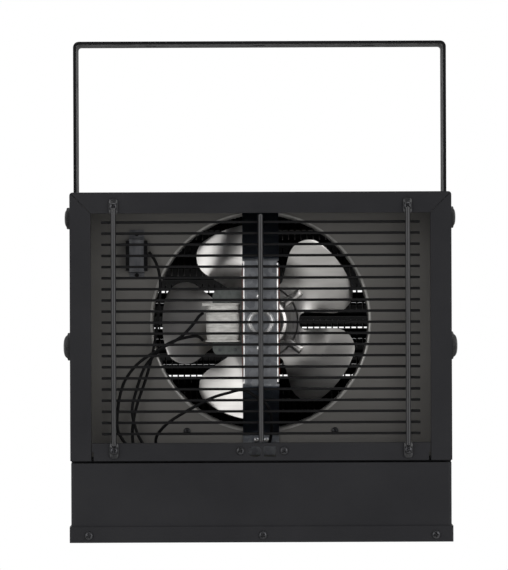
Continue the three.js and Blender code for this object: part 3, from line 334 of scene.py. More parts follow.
# %% Plastics and rubber
def moulded(name, dark, light, roughness, specular=0.4, grit=1600):
    plastic = finish(name, dark, 0.0, roughness, specular)
    colours(plastic, grain(plastic, 70).outputs["Fac"], [(0.3, dark), (0.7, light)])
    relief(plastic, grain(plastic, grit).outputs["Fac"], 0.00003)
    rough(plastic, spread(plastic, grain(plastic, 300).outputs["Fac"], roughness - 0.06, roughness + 0.06))
    return plastic


black_plastic = moulded("black_plastic", (0.008, 0.008, 0.009), (0.012, 0.012, 0.013), 0.42, 0.22)
phenolic = moulded("phenolic", (0.0025, 0.0025, 0.003), (0.005, 0.005, 0.0055), 0.5, 0.08)
white_plastic = moulded("white_plastic", (0.60, 0.58, 0.53), (0.68, 0.66, 0.61), 0.45)
rubber = moulded("black_rubber", (0.003, 0.003, 0.0035), (0.006, 0.006, 0.0065), 0.55, 0.1, 1000)
amber = moulded("amber_lens", (0.62, 0.16, 0.015), (0.72, 0.21, 0.03), 0.2, 0.5)
amber.node_tree.nodes["Principled BSDF"].inputs["Transmission Weight"].default_value = 0.35

tape = finish("glass_tape", (0.52, 0.50, 0.47), 0.0, 0.55, 0.3)
threads = tape.node_tree.nodes.new("ShaderNodeTexWave")
threads.bands_direction = "Z"
threads.inputs["Scale"].default_value = 150
threads.inputs["Distortion"].default_value = 1.5
crossing = tape.node_tree.nodes.new("ShaderNodeTexWave")
crossing.inputs["Scale"].default_value = 260
where = tape.node_tree.nodes.new("ShaderNodeTexCoord")
weave = tape.node_tree.nodes.new("ShaderNodeMath")
weave.operation = "MULTIPLY"
for wave, socket in ((threads, 0), (crossing, 1)):
    tape.node_tree.links.new(where.outputs["Object"], wave.inputs["Vector"])
    tape.node_tree.links.new(wave.outputs["Fac"], weave.inputs[socket])
colours(tape, grain(tape, 110, (1, 1, 4)).outputs["Fac"],
        [(0.3, (0.40, 0.39, 0.37)), (0.7, (0.66, 0.65, 0.62))])
relief(tape, weave.outputs[0], 0.0002)
print("plastics, rubber and tape")

# %% [markdown]
# ## Element steel and a strap with painted reflections
# The element fins are oxidised nearly black, with a brown bloom. The motor strap is galvanised
# all over. A dark blue reflection of the case is painted on its sloping legs, so its colour changes
# with height. That is read from the Object coordinates: a mask on the height above and below the
# fan's axis.

# %% Element steel and strap
oxidised = finish("oxidised_steel", (0.02, 0.019, 0.018), 0.6, 0.6, 0.3)
colours(oxidised, grain(oxidised, 45).outputs["Fac"],
        [(0.3, (0.012, 0.012, 0.012)), (0.6, (0.030, 0.026, 0.022)), (0.8, (0.050, 0.038, 0.028))])
relief(oxidised, grain(oxidised, 900).outputs["Fac"], 0.00004)
rough(oxidised, spread(oxidised, grain(oxidised, 200).outputs["Fac"], 0.5, 0.7))

strap_steel = finish("strap_steel", (0.30, 0.31, 0.33), 1.0, 0.35)
links = strap_steel.node_tree.links
where = strap_steel.node_tree.nodes.new("ShaderNodeTexCoord")
split = strap_steel.node_tree.nodes.new("ShaderNodeSeparateXYZ")
links.new(where.outputs["Object"], split.inputs["Vector"])
above = strap_steel.node_tree.nodes.new("ShaderNodeMath")
above.operation = "ADD"
above.inputs[1].default_value = 0.288
links.new(split.outputs["Z"], above.inputs[0])
height = strap_steel.node_tree.nodes.new("ShaderNodeMath")
height.operation = "ABSOLUTE"
links.new(above.outputs[0], height.inputs[0])
# Painted reflection: this mask darkens the sloping legs, partly on the feet and not at their ends.
leg_start = spread(strap_steel, height.outputs[0], 0, 1, 0.0615, 0.0635)
leg_end = spread(strap_steel, height.outputs[0], 1, 0.35, 0.1100, 0.1130)
foot_end = spread(strap_steel, height.outputs[0], 1, 0, 0.1180, 0.1200)
painted_leg_mask = strap_steel.node_tree.nodes.new("ShaderNodeMath")
painted_leg_mask.operation = "MULTIPLY"
links.new(leg_start, painted_leg_mask.inputs[0])
links.new(leg_end, painted_leg_mask.inputs[1])
painted_reflection_mask = strap_steel.node_tree.nodes.new("ShaderNodeMath")
painted_reflection_mask.operation = "MULTIPLY"
links.new(painted_leg_mask.outputs[0], painted_reflection_mask.inputs[0])
links.new(foot_end, painted_reflection_mask.inputs[1])
leg = painted_reflection_mask.outputs[0]
crystal = grain(strap_steel, 230, kind="TexVoronoi")
shade = strap_steel.node_tree.nodes.new("ShaderNodeMix")
shade.data_type = "RGBA"
zinc = strap_steel.node_tree.nodes.new("ShaderNodeValToRGB")
zinc.color_ramp.elements[0].color = (0.22, 0.23, 0.245, 1)
zinc.color_ramp.elements[1].color = (0.42, 0.43, 0.45, 1)
links.new(crystal.outputs["Color"], zinc.inputs["Fac"])
links.new(leg, shade.inputs["Factor"])
links.new(zinc.outputs["Color"], shade.inputs["A"])
# The legs' dark blue-grey is a painted reflection of the dark case.
shade.inputs["B"].default_value = (0.12, 0.14, 0.175, 1)
links.new(shade.outputs["Result"], strap_steel.node_tree.nodes["Principled BSDF"].inputs["Base Color"])
relief(strap_steel, grain(strap_steel, 700).outputs["Fac"], 0.00003)
print("oxidised steel and strap steel")

# %% [markdown]
# ## Finishes on the solids
# A solid that is already right keeps its shape, and only its material slot changes.

# %% Dress the solids
finishes_by_solid = {
    case_coat: ["cabinet_wrap", "rear_rail", "cabinet_floor", "wiring_box", "bottom_cover",
                "outlet_frame", "control_panel",
                "louver_1", "louver_2", "louver_3", "louver_4", "louver_5"],
    bracket_coat: ["mounting_bracket"],
    shroud_coat: ["fan_shroud"],
    wire_coat: ["rear_grille"],
    galvanised: ["heat_shield", "element_support", "bearing_bracket_rear", "bearing_bracket_front"],
    dull_zinc: ["limit_switch_bracket"],
    strap_steel: ["motor_strap"],
    plated: ["lock_nut_left", "lock_nut_right", "pivot_nut_left", "pivot_nut_right", "motor_shaft",
             "fan_hub", "motor_rotor"],
    layers: ["motor_stack"],
    tape: ["motor_coil"],
    aluminium: ["fan_blades"],
    oxidised: ["heating_element_1", "heating_element_2", "heating_element_3"],
    black_plastic: ["lock_screw_left", "lock_screw_right", "pivot_screw_left", "pivot_screw_right",
                    "pivot_washer_left", "pivot_washer_right", "selector_switch",
                    "thermostat_knob", "selector_knob", "terminal_block"],
    phenolic: ["limit_switch_body"],
    white_plastic: ["contactor", "thermostat_body"],
    amber: ["pilot_lamp"],
    rubber: ["cable_bushing", "limit_lead", "motor_lead_a", "motor_lead_b", "earth_lead"],
}
dressed = set()
for material, names in finishes_by_solid.items():
    for name in names:
        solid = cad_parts[name]
        solid.data.materials.clear()
        solid.data.materials.append(material)
        dressed.add(name)
print(len(dressed), "solids dressed, left:", sorted(set(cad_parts) - dressed))

# %% [markdown]
# ## Surfaces from grids
# The smooth pieces are grids of points that numpy works out all at once. `skin` turns a grid into
# quads, and `piece` welds what meets, turns every face outwards and hands the mesh to a body.

# %% Grid helpers
import bmesh


def skin(points, close_rows=False, close_columns=False, start=0):
    """Quads between the neighbours of a (rows, columns, 3) grid, as (vertices, faces)."""
    rows, columns = points.shape[:2]
    index = start + np.arange(rows * columns).reshape(rows, columns)
    if close_rows:
        index = np.vstack([index, index[:1]])
    if close_columns:
        index = np.hstack([index, index[:, :1]])
    quads = np.stack([index[:-1, :-1], index[:-1, 1:], index[1:, 1:], index[1:, :-1]], axis=-1)
    return points.reshape(-1, 3), quads.reshape(-1, 4)


def gather(parts):
    """Several (vertices, faces) pairs as one pair."""
    starts = np.cumsum([0] + [len(vertices) for vertices, _ in parts[:-1]])
    faces = np.vstack([quads + start for (_, quads), start in zip(parts, starts)])
    return np.vstack([vertices for vertices, _ in parts]), faces


def piece(name, parts, material, body, replaces=(), crease=35):
    """A mesh object from (vertices, faces) pairs: welded, closed, faced outwards and smooth."""
    vertices, faces = gather(parts)
    mesh = bpy.data.meshes.new(name)
    mesh.from_pydata(vertices.tolist(), [], faces.tolist())
    work = bmesh.new()
    work.from_mesh(mesh)
    bmesh.ops.remove_doubles(work, verts=work.verts, dist=1e-6)
    bmesh.ops.dissolve_degenerate(work, edges=work.edges, dist=1e-7)
    bmesh.ops.recalc_face_normals(work, faces=work.faces)
    work.to_mesh(mesh)
    work.free()
    mesh.polygons.foreach_set("use_smooth", np.ones(len(mesh.polygons), bool))
    mesh.set_sharp_from_angle(angle=radians(crease))
    mesh.materials.append(material)
    thing = bpy.data.objects.new(name, mesh)
    bpy.context.scene.collection.objects.link(thing)
    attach(thing, body)
    if replaces:
        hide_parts(*replaces)
    return thing


AXES = {
    "+x": np.array([[0, 0, 1], [1, 0, 0], [0, 1, 0]], float),
    "-x": np.array([[0, 0, -1], [-1, 0, 0], [0, 1, 0]], float),
    "+y": np.array([[1, 0, 0], [0, 0, 1], [0, 1, 0]], float),
    "-y": np.array([[1, 0, 0], [0, 0, -1], [0, 1, 0]], float),
    "+z": np.array([[1, 0, 0], [0, 1, 0], [0, 0, 1]], float),
}


def stand(points, axis, place):
    """Turns local points so that their third axis lies on the named one, then moves them.
    Millimetres in, metres out."""
    return (points @ AXES[axis].T + np.asarray(place, float)) * MM


def turned(profile, axis, place, sides=32, lobes=None):
    """Carries (radius, height) pairs round an axis: x = r cos a, y = r sin a, z = h.
    lobes(a, r, h) scales the radius."""
    profile = np.asarray(profile, float)
    angle = np.arange(sides) * 2 * pi / sides
    radius = np.repeat(profile[:, :1], sides, axis=1)
    height = np.repeat(profile[:, 1:], sides, axis=1)
    if lobes is not None:
        radius = radius * lobes(angle[None, :], radius, height)
    points = np.stack([radius * np.cos(angle), radius * np.sin(angle), height], axis=-1)
    return skin(stand(points, axis, place), close_columns=True)


def rod(axis, place, radius, start, end, sides=14, end_round=0.3):
    """A round bar along an axis from start to end, its rims eased by end_round."""
    r, e = radius, end_round
    profile = [(0, start), (r - e, start), (r, start + e), (r, end - e), (r - e, end), (0, end)]
    return turned(profile, axis, place, sides)


print("grid helpers ready")

# %% [markdown]
# ## Intake grille
# Twenty wires are welded across three bars. The outer bars are pressed flat at their ends to take
# a screw, and the middle bar has plain ends. Rods made from short profiles keep each wire round.

# %% Grille wires and bars
BAR_Y = REAR - 0.3 - 2.5
WIRE_Y = BAR_Y + 2.5 + 1.3 - 0.4
wire_heights = -293.05 + (np.arange(20) - 9.5) * 10.9
parts = [rod("+x", (0, WIRE_Y, z), 1.3, -156, 156, 12, 0.4) for z in wire_heights]
grille = piece("intake_grille", parts, wire_coat, "case", ["rear_grille"])
bars = [rod("+z", (0, BAR_Y, 0), 2.5, -405.0, -181.9, 24, 0.8)]
bars += [rod("+z", (x, BAR_Y, 0), 2.5, -408.8, -175.0, 24, 0.8) for x in (-144, 144)]
piece("grille_bars", bars, bar_coat, "case")
print("grille:", len(grille.data.polygons), "faces")


# %% Flattened ends of the outer bars
def pressed_tab(x, z, half_width=4.3, half_height=7.75, thick=2.0, sides=28):
    """A flat pad with rounded ends: a superellipse |u|^4 + |v|^4 = 1 in plan, in three layers."""
    a = np.arange(sides) * 2 * pi / sides
    u = np.sign(np.cos(a)) * np.abs(np.cos(a)) ** 0.5
    v = np.sign(np.sin(a)) * np.abs(np.sin(a)) ** 0.5
    rings = []
    for shrink, depth in ((0.0, 0.0), (0.9, 0.0), (1.0, 0.35), (1.0, thick), (0.0, thick)):
        y = np.full(sides, BAR_Y + 0.5 + depth)
        rings.append(np.stack([x + u * half_width * shrink, y, z + v * half_height * shrink], axis=-1))
    return skin(np.array(rings) * MM, close_columns=True)


tabs = [pressed_tab(x, z) for x in (-144, 144) for z in (-174.0, -412.8)]
grille_tabs = piece("grille_tabs", tabs, bar_coat, "case")
print("tabs:", len(tabs))

# %% [markdown]
# ## Screws
# Every sheet metal joint has a pan head screw with a cross recess. The head is one turned
# profile, and the recess is a dip in its height: where the angle is near one of four arms and
# the radius is small, the surface goes down. They are all one object for each finish and body.

# %% Pan head screws
def pan_screw(axis, place, radius=3.6, height=2.2, turn=0.3, sides=48):
    """A dome h = height (1 - (r / R)^4) over the rim, less a cross: two slots 0.3 R wide and 1.1 R long."""
    steps = np.array([0, 0.1, 0.2, 0.3, 0.4, 0.5, 0.6, 0.75, 0.9, 1.0])
    angle = np.arange(sides) * 2 * pi / sides
    r, a = np.meshgrid(steps * radius, angle, indexing="ij")
    x, y = r * np.cos(a), r * np.sin(a)
    h = height * (0.35 + 0.65 * (1 - (r / radius) ** 4))
    c, s = np.cos(turn), np.sin(turn)
    p, q = np.abs(c * x + s * y), np.abs(-s * x + c * y)
    width, length = 0.16 * radius, 0.55 * radius
    arm = np.maximum(np.clip((width - p) / 0.15, 0, 1) * np.clip((length - q) / 0.2, 0, 1),
                     np.clip((width - q) / 0.15, 0, 1) * np.clip((length - p) / 0.2, 0, 1))
    h = h - arm * height * 0.55
    top = np.stack([x, y, h], axis=-1)[::-1]
    skirt = np.stack([radius * np.cos(angle), radius * np.sin(angle), np.full(sides, -0.2)], axis=-1)[None]
    closing = np.stack([0 * angle, 0 * angle, np.full(sides, -0.2)], axis=-1)[None]
    grid = np.concatenate([closing, skirt, top])
    return skin(stand(grid, axis, place), close_columns=True)


screws = [pan_screw("-y", (x, BAR_Y + 0.5, z), 3.9, 2.4, turn) for x, z, turn in
          ((-144, -174.3, 0.2), (144, -174.3, 0.9), (-144, -413.0, 0.5), (144, -413.0, 1.2))]
screws += [pan_screw("-y", (x, REAR, -413.5), 4.0, 2.4, turn) for x, turn in ((-20.5, 0.4), (22.3, 1.0))]
screws += [pan_screw("-y", (x, REAR - 1, -496.0), 4.1, 2.6, turn)
           for x, turn in ((-168.9, 0.3), (1.3, 0.8), (170.8, 0.1))]
screws += [pan_screw("-y", (x, SHROUD_Y, -397.0), 3.4, 2.2, 0.6) for x in (-74, 74)]
print(len(screws), "screws on the intake side")

# %% [markdown]
# The other sides are screwed in the same way: the cover along its edges, the outlet frame to the
# case, and the control panel at its corners.

# %% Screws on the other sides
for x in (-168, 0, 168):
    screws.append(pan_screw("+y", (x, 166.5, -495.5), 3.8, 2.4, 0.5))
for side, axis in ((-1, "-x"), (1, "+x")):
    for y in (-110, 110):
        screws.append(pan_screw(axis, (side * 187.9, y, -495.5), 3.8, 2.4, 0.2))
        screws.append(pan_screw(axis, (side * 187.0, y, -409.0), 3.8, 2.4, 0.9))
    screws.append(pan_screw(axis, (side * 187.0, -98, -198.0), 3.8, 2.4, 0.4))
    screws.append(pan_screw(axis, (side * 187.0, 156, -198.0), 3.8, 2.4, 0.7))
case_screws = piece("case_screws", screws, black_zinc, "case", crease=50)
print("case screws:", len(screws))

# %% [markdown]
# ## Hand screws
# The tilt is set by four moulded hand screws. Each has a thick knurled rim, a shallow dome with
# lobes and a stud. The knurl is a small fast wave on the rim's radius, and the lobes are a slow
# one on the dome, strongest at its foot.

# %% Hand screws
def hand_screw(side, z, flange, rim, dome, height, lobes=6, knurls=36):
    """Profile from the stud's end over the rim to the dome's top. Its radius is times
    1 - 0.02 (1 - cos(36 a)) on the rim, and times 1 - 0.035 (1 - cos(6 a)) at the dome's foot."""
    rise = np.linspace(0, pi / 2, 12)
    profile = [(0, -21.0), (2.7, -21.0), (3.0, -20.6), (3.0, 0), (flange - 0.6, 0), (flange, 0.6),
               (flange, rim - 0.7), (flange - 0.25, rim - 0.2), (flange - 0.8, rim), (dome + 0.3, rim)]
    profile += [(dome * np.cos(t) ** 0.8, rim + (height - rim) * np.sin(t)) for t in rise[:-1]]
    profile.append((0, height))

    def shape(a, r, h):
        knurl = (r > dome + 0.4) * (h > 0.3) * (h < rim - 0.1)
        grip = np.clip((h - rim - 0.1) / 1.2, 0, 1) * np.clip((r / dome - 0.35) / 0.3, 0, 1)
        grip = grip * (r < dome + 0.1)
        return 1 - 0.02 * (1 - np.cos(knurls * a)) * knurl - 0.035 * (1 - np.cos(lobes * a)) * grip

    return turned(profile, "+x" if side > 0 else "-x", (side * 192.3, 0, z), 144, shape)


for side, word in ((-1, "left"), (1, "right")):
    piece(f"pivot_grip_{word}", [hand_screw(side, -314.5, 14.4, 7.6, 12.6, 12)], black_plastic,
          f"pivot_screw_{word}", [f"pivot_screw_{word}"], crease=50)
    piece(f"lock_grip_{word}", [hand_screw(side, -181.5, 11.2, 8.2, 9.0, 10.4)], black_plastic,
          f"lock_screw_{word}", [f"lock_screw_{word}"], crease=50)
print("four hand screws")

# %% [markdown]
# ## Rolled lip of the shroud
# The edge of the fan opening is rolled forwards, and its bend catches the light as a thin ring.
# The solid has the roll in flat steps, so a smooth skin lies on it: a bead on the edge in the
# lighter lip coat, a painted highlight, and behind it a throat in the near-black wire coat, painted shade.

# %% Shroud lip
turn = np.linspace(0, pi / 2, 13)
curl = [(110.2 - 3.15 * np.sin(t), 2.8 - 3.15 * np.cos(t)) for t in turn]
bead = [(110.6, -0.3)] + curl[1:10] + [(109.5, 1.6), (110.6, 0.3), (110.6, -0.3)]
throat = curl[9:] + [(107.05, 17.2), (109.0, 17.2), (109.0, 6.0), (109.6, 1.8), curl[9]]
# The bead takes the lighter lip coat as a painted highlight, and the throat the near-black wire coat as painted
# shade.
for name, profile, coat in (("shroud_lip", bead, lip_coat), ("painted_shade_throat", throat, wire_coat)):
    ring = turned(profile, "+y", (0, SHROUD_Y, FAN_Z), 144)
    shroud_ring = piece(name, [ring], coat, "case", crease=60)
print("throat:", len(shroud_ring.data.polygons), "faces")

# %% [markdown]
# ## The fan
# A blade is a grid in radius and angle. Its half angle is narrow at the root, where a round notch
# parts it from its neighbour, then 30.3 degrees wide, then rounded at the tip. The pitch grows
# from the flat hub outwards. Two such skins, a sheet's thickness apart, close at their rim.

# %% Fan blades
FAN = np.array([0, -95.0, FAN_Z])
HUB, TIP, SHEET = 38.0, 98.5, 1.2


def half_angle(r):
    """Half a blade's angle at radius r, in degrees. Past the middle it follows a corner of radius 21
    about a point at radius C: a = 30.3 - asin(21 / C) + acos((r^2 + C^2 - 21^2) / (2 r C))."""
    notch = np.sqrt(np.clip(81 - (HUB + 9 - r) ** 2, 0, None))
    root = 36 - np.degrees(np.arcsin(notch / r))
    centre = TIP + 0.4 - 21
    widest = np.sqrt(centre**2 - 21**2)
    swell = 30.3 * (1 - 0.17 * np.clip((widest - r) / (widest - HUB - 9), 0, 1) ** 1.5)
    bend = np.degrees(np.arccos(np.clip((r**2 + centre**2 - 21**2) / (2 * r * centre), -1, 1)))
    corner = 30.3 - np.degrees(np.arcsin(21 / centre)) + bend
    broad = np.where(r < widest, swell, corner)
    return np.minimum(np.where(r < HUB + 9, root, broad), 35.6)


def sheet_height(r, off, u):
    """y = -tan(22) s(r) r sin(off) - 2.5 s(r) (1 - u^2): pitch and camber, where s rises smoothly
    from 0 at the hub to 1 at the middle of the blade."""
    t = np.clip((r - HUB) / 34, 0, 1)
    rise = t * t * (3 - 2 * t)
    return -np.tan(radians(22)) * rise * r * np.sin(off) - 2.5 * rise * (1 - u**2)


def blade(centre, rows=48, columns=26):
    """Two skins 1.2 apart over a grid in radius and angle, closed at their rim."""
    v = np.linspace(0, 1, rows)
    r = HUB - 1.5 + (TIP - HUB + 1.5) * np.sin(v * pi / 2) ** 1.1
    half = np.radians(half_angle(np.maximum(r, HUB)))
    u = np.linspace(-1, 1, columns)[None, :] + 0 * v[:, None]
    off = half[:, None] * u
    radius = r[:, None] + 0 * off
    angle = centre + off
    flat = np.stack([radius * np.cos(angle), sheet_height(radius, off, u), radius * np.sin(angle)], axis=-1)
    back, front = flat.copy(), flat.copy()
    back[..., 1] -= SHEET / 2
    front[..., 1] += SHEET / 2
    loop = np.concatenate([back, front[:, ::-1]], axis=1)
    tip = np.concatenate([back[-1:], front[-1:]], axis=0)
    root = np.concatenate([back[:1], front[:1]], axis=0)
    shell = skin((loop + FAN) * MM, close_columns=True)
    return [shell, skin((tip + FAN) * MM), skin((root + FAN) * MM)]


parts = []
for k in range(5):
    parts += blade(radians(36.7 + 72 * k))
hub_profile = [(3.3, 0), (12, 0), (20.4, 0), (21.2, -0.2), (22.0, -0.5), (22.8, -0.6), (23.6, -0.45),
               (24.6, -0.1), (25.8, 0.45), (27.2, 0.5), (28.6, 0), (38.6, 0), (38.6, 1.2), (28.6, 1.2),
               (27.2, 1.7), (25.6, 1.65), (24.2, 1.0), (22.8, 0.2), (21.6, 0.5), (20.4, 1.2), (3.3, 1.2), (3.3, 0)]
parts.append(turned(np.array(hub_profile) - [0, 0.6], "+y", FAN, 96))
fan = piece("fan_sheet", parts, aluminium, "fan", ["fan_blades"], crease=40)
print("fan:", len(fan.data.polygons), "faces")


# %% Stiffening ribs on the blades' roots
def rib(centre, start=27.5, end=50.5, half_width=4.3, height=3.3, rows=24, columns=15):
    """A half round swelling on the sheet: y = -height sqrt(1 - u^2) over most of its length, with
    both ends falling away as (sin pi v)^0.35, and its rim under the sheet."""
    v = np.linspace(0, 1, rows)[:, None]
    u = np.linspace(-1, 1, columns)[None, :]
    r = start + (end - start) * v + 0 * u
    across = half_width * u + 0 * v
    lift = height * np.sqrt(1 - u**2) * np.clip(np.sin(pi * v), 0, 1) ** 0.35
    base = sheet_height(r, np.arctan2(across, r), 0 * u) * (r > HUB)
    x = r * np.cos(centre) - across * np.sin(centre)
    z = r * np.sin(centre) + across * np.cos(centre)
    top = np.stack([x, base - 0.55 - lift, z], axis=-1)
    low = np.stack([x, base + 0.3 + 0 * lift, z], axis=-1)
    loop = np.concatenate([top, low[:, ::-1]], axis=1)
    return [skin((loop + FAN) * MM, close_columns=True),
            skin((np.stack([top[0], low[0]]) + FAN) * MM), skin((np.stack([top[-1], low[-1]]) + FAN) * MM)]


parts = []
for k in range(5):
    parts += rib(radians(36.7 + 72 * k))
ribs = piece("fan_ribs", parts, aluminium, "fan", crease=60)
print("ribs:", len(ribs.data.polygons), "faces")

# %% [markdown]
# ## The motor and its strap
# The strap is one sheet bent along its length, and its flat has both edges folded away. The folds
# are round, so they catch the side lamps as two bright lines. A ring is pressed in its middle. The
# folds and the ring take a brighter metal than the strap's face, a painted highlight on the same
# steel. A strip of red insulating paper lies between the strap and the motor. The coil is wound
# on a bobbin between two flanges and swells a little in the middle under its tape.

# %% Motor strap
FLAT_Y, FOOT_Y, FLAT_HALF, FOOT_AT = -155.0, -106.8, 62.0, 112.0


def strap_path(step=3.0, samples=7):
    """The strap's face line as (y, z) pairs with round bends: at each bend a quadratic curve
    p(t) = (1 - t)^2 a + 2 t (1 - t) b + t^2 c takes the last step of both straights."""
    corners = np.array([(FOOT_Y, -132.8), (FOOT_Y, -FOOT_AT), (FLAT_Y, -FLAT_HALF), (FLAT_Y, FLAT_HALF),
                        (FOOT_Y, FOOT_AT), (FOOT_Y, 121.8)])
    t = np.linspace(0, 1, samples)[:, None]
    line = [corners[:1]]
    for before, corner, after in zip(corners[:-2], corners[1:-1], corners[2:]):
        a = corner + (before - corner) / np.linalg.norm(before - corner) * step
        c = corner + (after - corner) / np.linalg.norm(after - corner) * step
        line.append((1 - t) ** 2 * a + 2 * t * (1 - t) * corner + t**2 * c)
    return np.vstack(line + [corners[-1:]])


def strap_strip(path, thick=1.5):
    """A flat sheet along the path, narrower where the folds take over its edges."""
    along = np.gradient(path, axis=0)
    along /= np.linalg.norm(along, axis=1)[:, None]
    inward = np.stack([along[:, 1], -along[:, 0]], axis=1) * thick
    half = np.where(np.abs(path[:, 1]) < FLAT_HALF - 1.5, 15.9, 18.0)
    ring = []
    for x, depth in ((-1, 0), (1, 0), (1, 1), (-1, 1)):
        yz = path + inward * depth
        ring.append(np.stack([x * half, yz[:, 0], yz[:, 1] + FAN[2]], axis=-1))
    grid = np.stack(ring, axis=1) * MM
    ends = [skin(grid[i][[[0, 1], [3, 2]]]) for i in (0, -1)]
    return [skin(grid, close_columns=True)] + ends


def strap_fold(side, radius=2.3, depth=7.0, thick=1.5, end=58.5):
    """An edge turned away through a quarter circle, as one outline carried along z."""
    t = np.linspace(0, pi / 2, 8)
    outer, inner = (np.stack([18 - radius + r * np.sin(t), radius - r * np.cos(t)], axis=1)
                    for r in (radius, radius - thick))
    edge = [(18, depth - 0.3), (17.7, depth), (16.8, depth), (16.5, depth - 0.3)]
    outline = np.vstack([[(15.6, 0)], outer, edge, inner[::-1], [(15.6, thick)]])
    grid = []
    for z, shrink in ((-end, 0), (-end, 1), (end, 1), (end, 0)):
        middle = outline.mean(axis=0)
        ring = middle + (outline - middle) * shrink
        z_row = FAN[2] + z + 0 * ring[:, 0]
        grid.append(np.stack([side * ring[:, 0], FLAT_Y + ring[:, 1], z_row], axis=-1))
    return skin(np.array(grid) * MM, close_columns=True)


ring_profile = [(8.2, -0.6), (8.7, 0.5), (9.3, 1.6), (10.1, 2.3), (11.0, 2.5), (11.9, 2.2), (12.7, 1.3),
                (13.3, 0.3), (13.7, -0.6), (8.2, -0.6)]
pressed_ring = turned(ring_profile, "-y", (0, FLAT_Y, FAN[2]), 72)
strap = piece("strap_sheet", strap_strip(strap_path()), strap_steel, "case",
              ["motor_strap"], crease=40)
# The folds and the pressed ring take the brighter plated metal: partly a painted highlight on the strap's own
# steel.
piece("strap_folds", [strap_fold(-1), strap_fold(1), pressed_ring], plated, "case", crease=40)
print("strap:", len(strap.data.polygons), "faces")


# %% Paper, rivets and small screws
SWITCH_X, SWITCH_Z = -123.5, -221.5


def slab(x, y, z):
    """A closed box between two values on each axis."""
    (x0, x1), (y0, y1), (z0, z1) = x, y, z
    ring = np.array([(x0, y0), (x1, y0), (x1, y1), (x0, y1)])
    mid = ring.mean(axis=0) + 0 * ring
    rows = [np.hstack([r, np.full((4, 1), h)]) for r, h in ((mid, z0), (ring, z0), (ring, z1), (mid, z1))]
    return skin(np.array(rows) * MM, close_columns=True)


paper = moulded("red_paper", (0.12, 0.026, 0.012), (0.17, 0.040, 0.018), 0.6, 0.2)
strip = slab((-18.35, 18.45), (-153.4, -152.9), (FAN[2] - 56, FAN[2] + 56))
piece("paper_strip", [strip], paper, "case")
small = [pan_screw("-y", (x, FLAT_Y, FAN[2] + z), 3.0, 1.6, 0.4) for x, z in ((-1.2, 25.5), (-1.2, -25.5))]
small += [pan_screw("-y", (x, FOOT_Y, -406.0), 2.7, 2.2, turn) for x, turn in ((-4.6, 0.2), (5.3, 0.9))]
dark = [rod("-y", (SWITCH_X, -106.1, SWITCH_Z + z), 2.0, 0, 1.1, 16) for z in (-19.4, 21.5)]
dark += [slab((SWITCH_X + x - 1.75, SWITCH_X + x + 1.75), (-114.0, -105.4), (SWITCH_Z - 14.9, SWITCH_Z + 14.9))
         for x in (-9, 9)]
piece("switch_rivets", dark, phenolic, "case")
rivets = [rod("-y", (x, -145.0, FAN[2] - 27), 1.5, 0, 0.8, 16) for x in (-40.5, -25.0)]
piece("core_rivets", rivets, dull_zinc, "case")
piece("motor_screws", small, plated, "case", crease=50)
print("paper, screws, rivets and the switch's two cheeks")


# %% Wound coil
def pillow(heights, grow, centre=(-37.2, -132.6), half=(16.6, 19.0), power=5.0, sides=64):
    """Rounded rectangles |x / a|^p + |y / b|^p = 1 stacked in z, each side grown by its own amount."""
    a = np.arange(sides) * 2 * pi / sides
    c, s = np.cos(a), np.sin(a)
    x = np.sign(c) * np.abs(c) ** (2 / power)
    y = np.sign(s) * np.abs(s) ** (2 / power)
    rings = [np.stack([centre[0] + x * max(half[0] + g, 0), centre[1] + y * max(half[1] + g, 0),
                       np.full(sides, FAN[2] + h)], axis=-1) for h, g in zip(heights, grow)]
    return skin(np.array(rings) * MM, close_columns=True)


h = np.linspace(-17.6, 17.6, 23)
swell = 0.4 + 1.5 * (1 - (h / 17.6) ** 2) ** 0.7 - 1.5
winding = pillow(np.concatenate([[-17.6], h, [17.6]]), np.concatenate([[-99], swell, [-99]]))
flanges = [pillow([z - 0.7, z - 0.7, z + 0.7, z + 0.7], [-99, 0.9, 0.9, -99]) for z in (-18.3, 18.3)]
tab = slab((-57.5, -45.0), (-152.0, -149.5), (FAN[2] + 16.6, FAN[2] + 19.0))
coil = piece("wound_coil", [winding, tab] + flanges, tape, "case", ["motor_coil"], crease=40)
print("coil:", len(coil.data.polygons), "faces")

# %% [markdown]
# ## Finned elements
# A fin is a thin washer wound on the tube. In the picture light falls between them every six and
# a half millimetres. One profile climbs each fin and comes down again along the whole straight
# run. A half circle of bare tube joins two runs.

# %% Finned tubes
ELEMENT_Y = 65.0
PITCH = 38.1
FIN_R, TUBE_R, FIN_PITCH, FIN_THICK = 15.0, 5.5, 6.54, 1.5


def finned_run(z, start=-136.0, end=130.0):
    """Radius along x: the tube, with a rise to the fin for FIN_THICK in every FIN_PITCH."""
    count = int((end - 4 - start) / FIN_PITCH)
    fin = start + 3 + FIN_PITCH * np.arange(count)
    steps = [(-FIN_THICK / 2, TUBE_R), (-FIN_THICK / 2 + 0.3, FIN_R - 0.3), (-0.2, FIN_R), (0.2, FIN_R),
             (FIN_THICK / 2 - 0.3, FIN_R - 0.3), (FIN_THICK / 2, TUBE_R)]
    x = (fin[:, None] + np.array([s for s, _ in steps])[None, :]).ravel()
    r = np.tile([radius for _, radius in steps], count)
    profile = np.concatenate([[(0, -174), (2, -174), (2, -166), (TUBE_R, -166)], np.stack([r, x], axis=-1),
                              [(TUBE_R, end)]])
    return turned(profile, "+x", (0, ELEMENT_Y, z), 20)


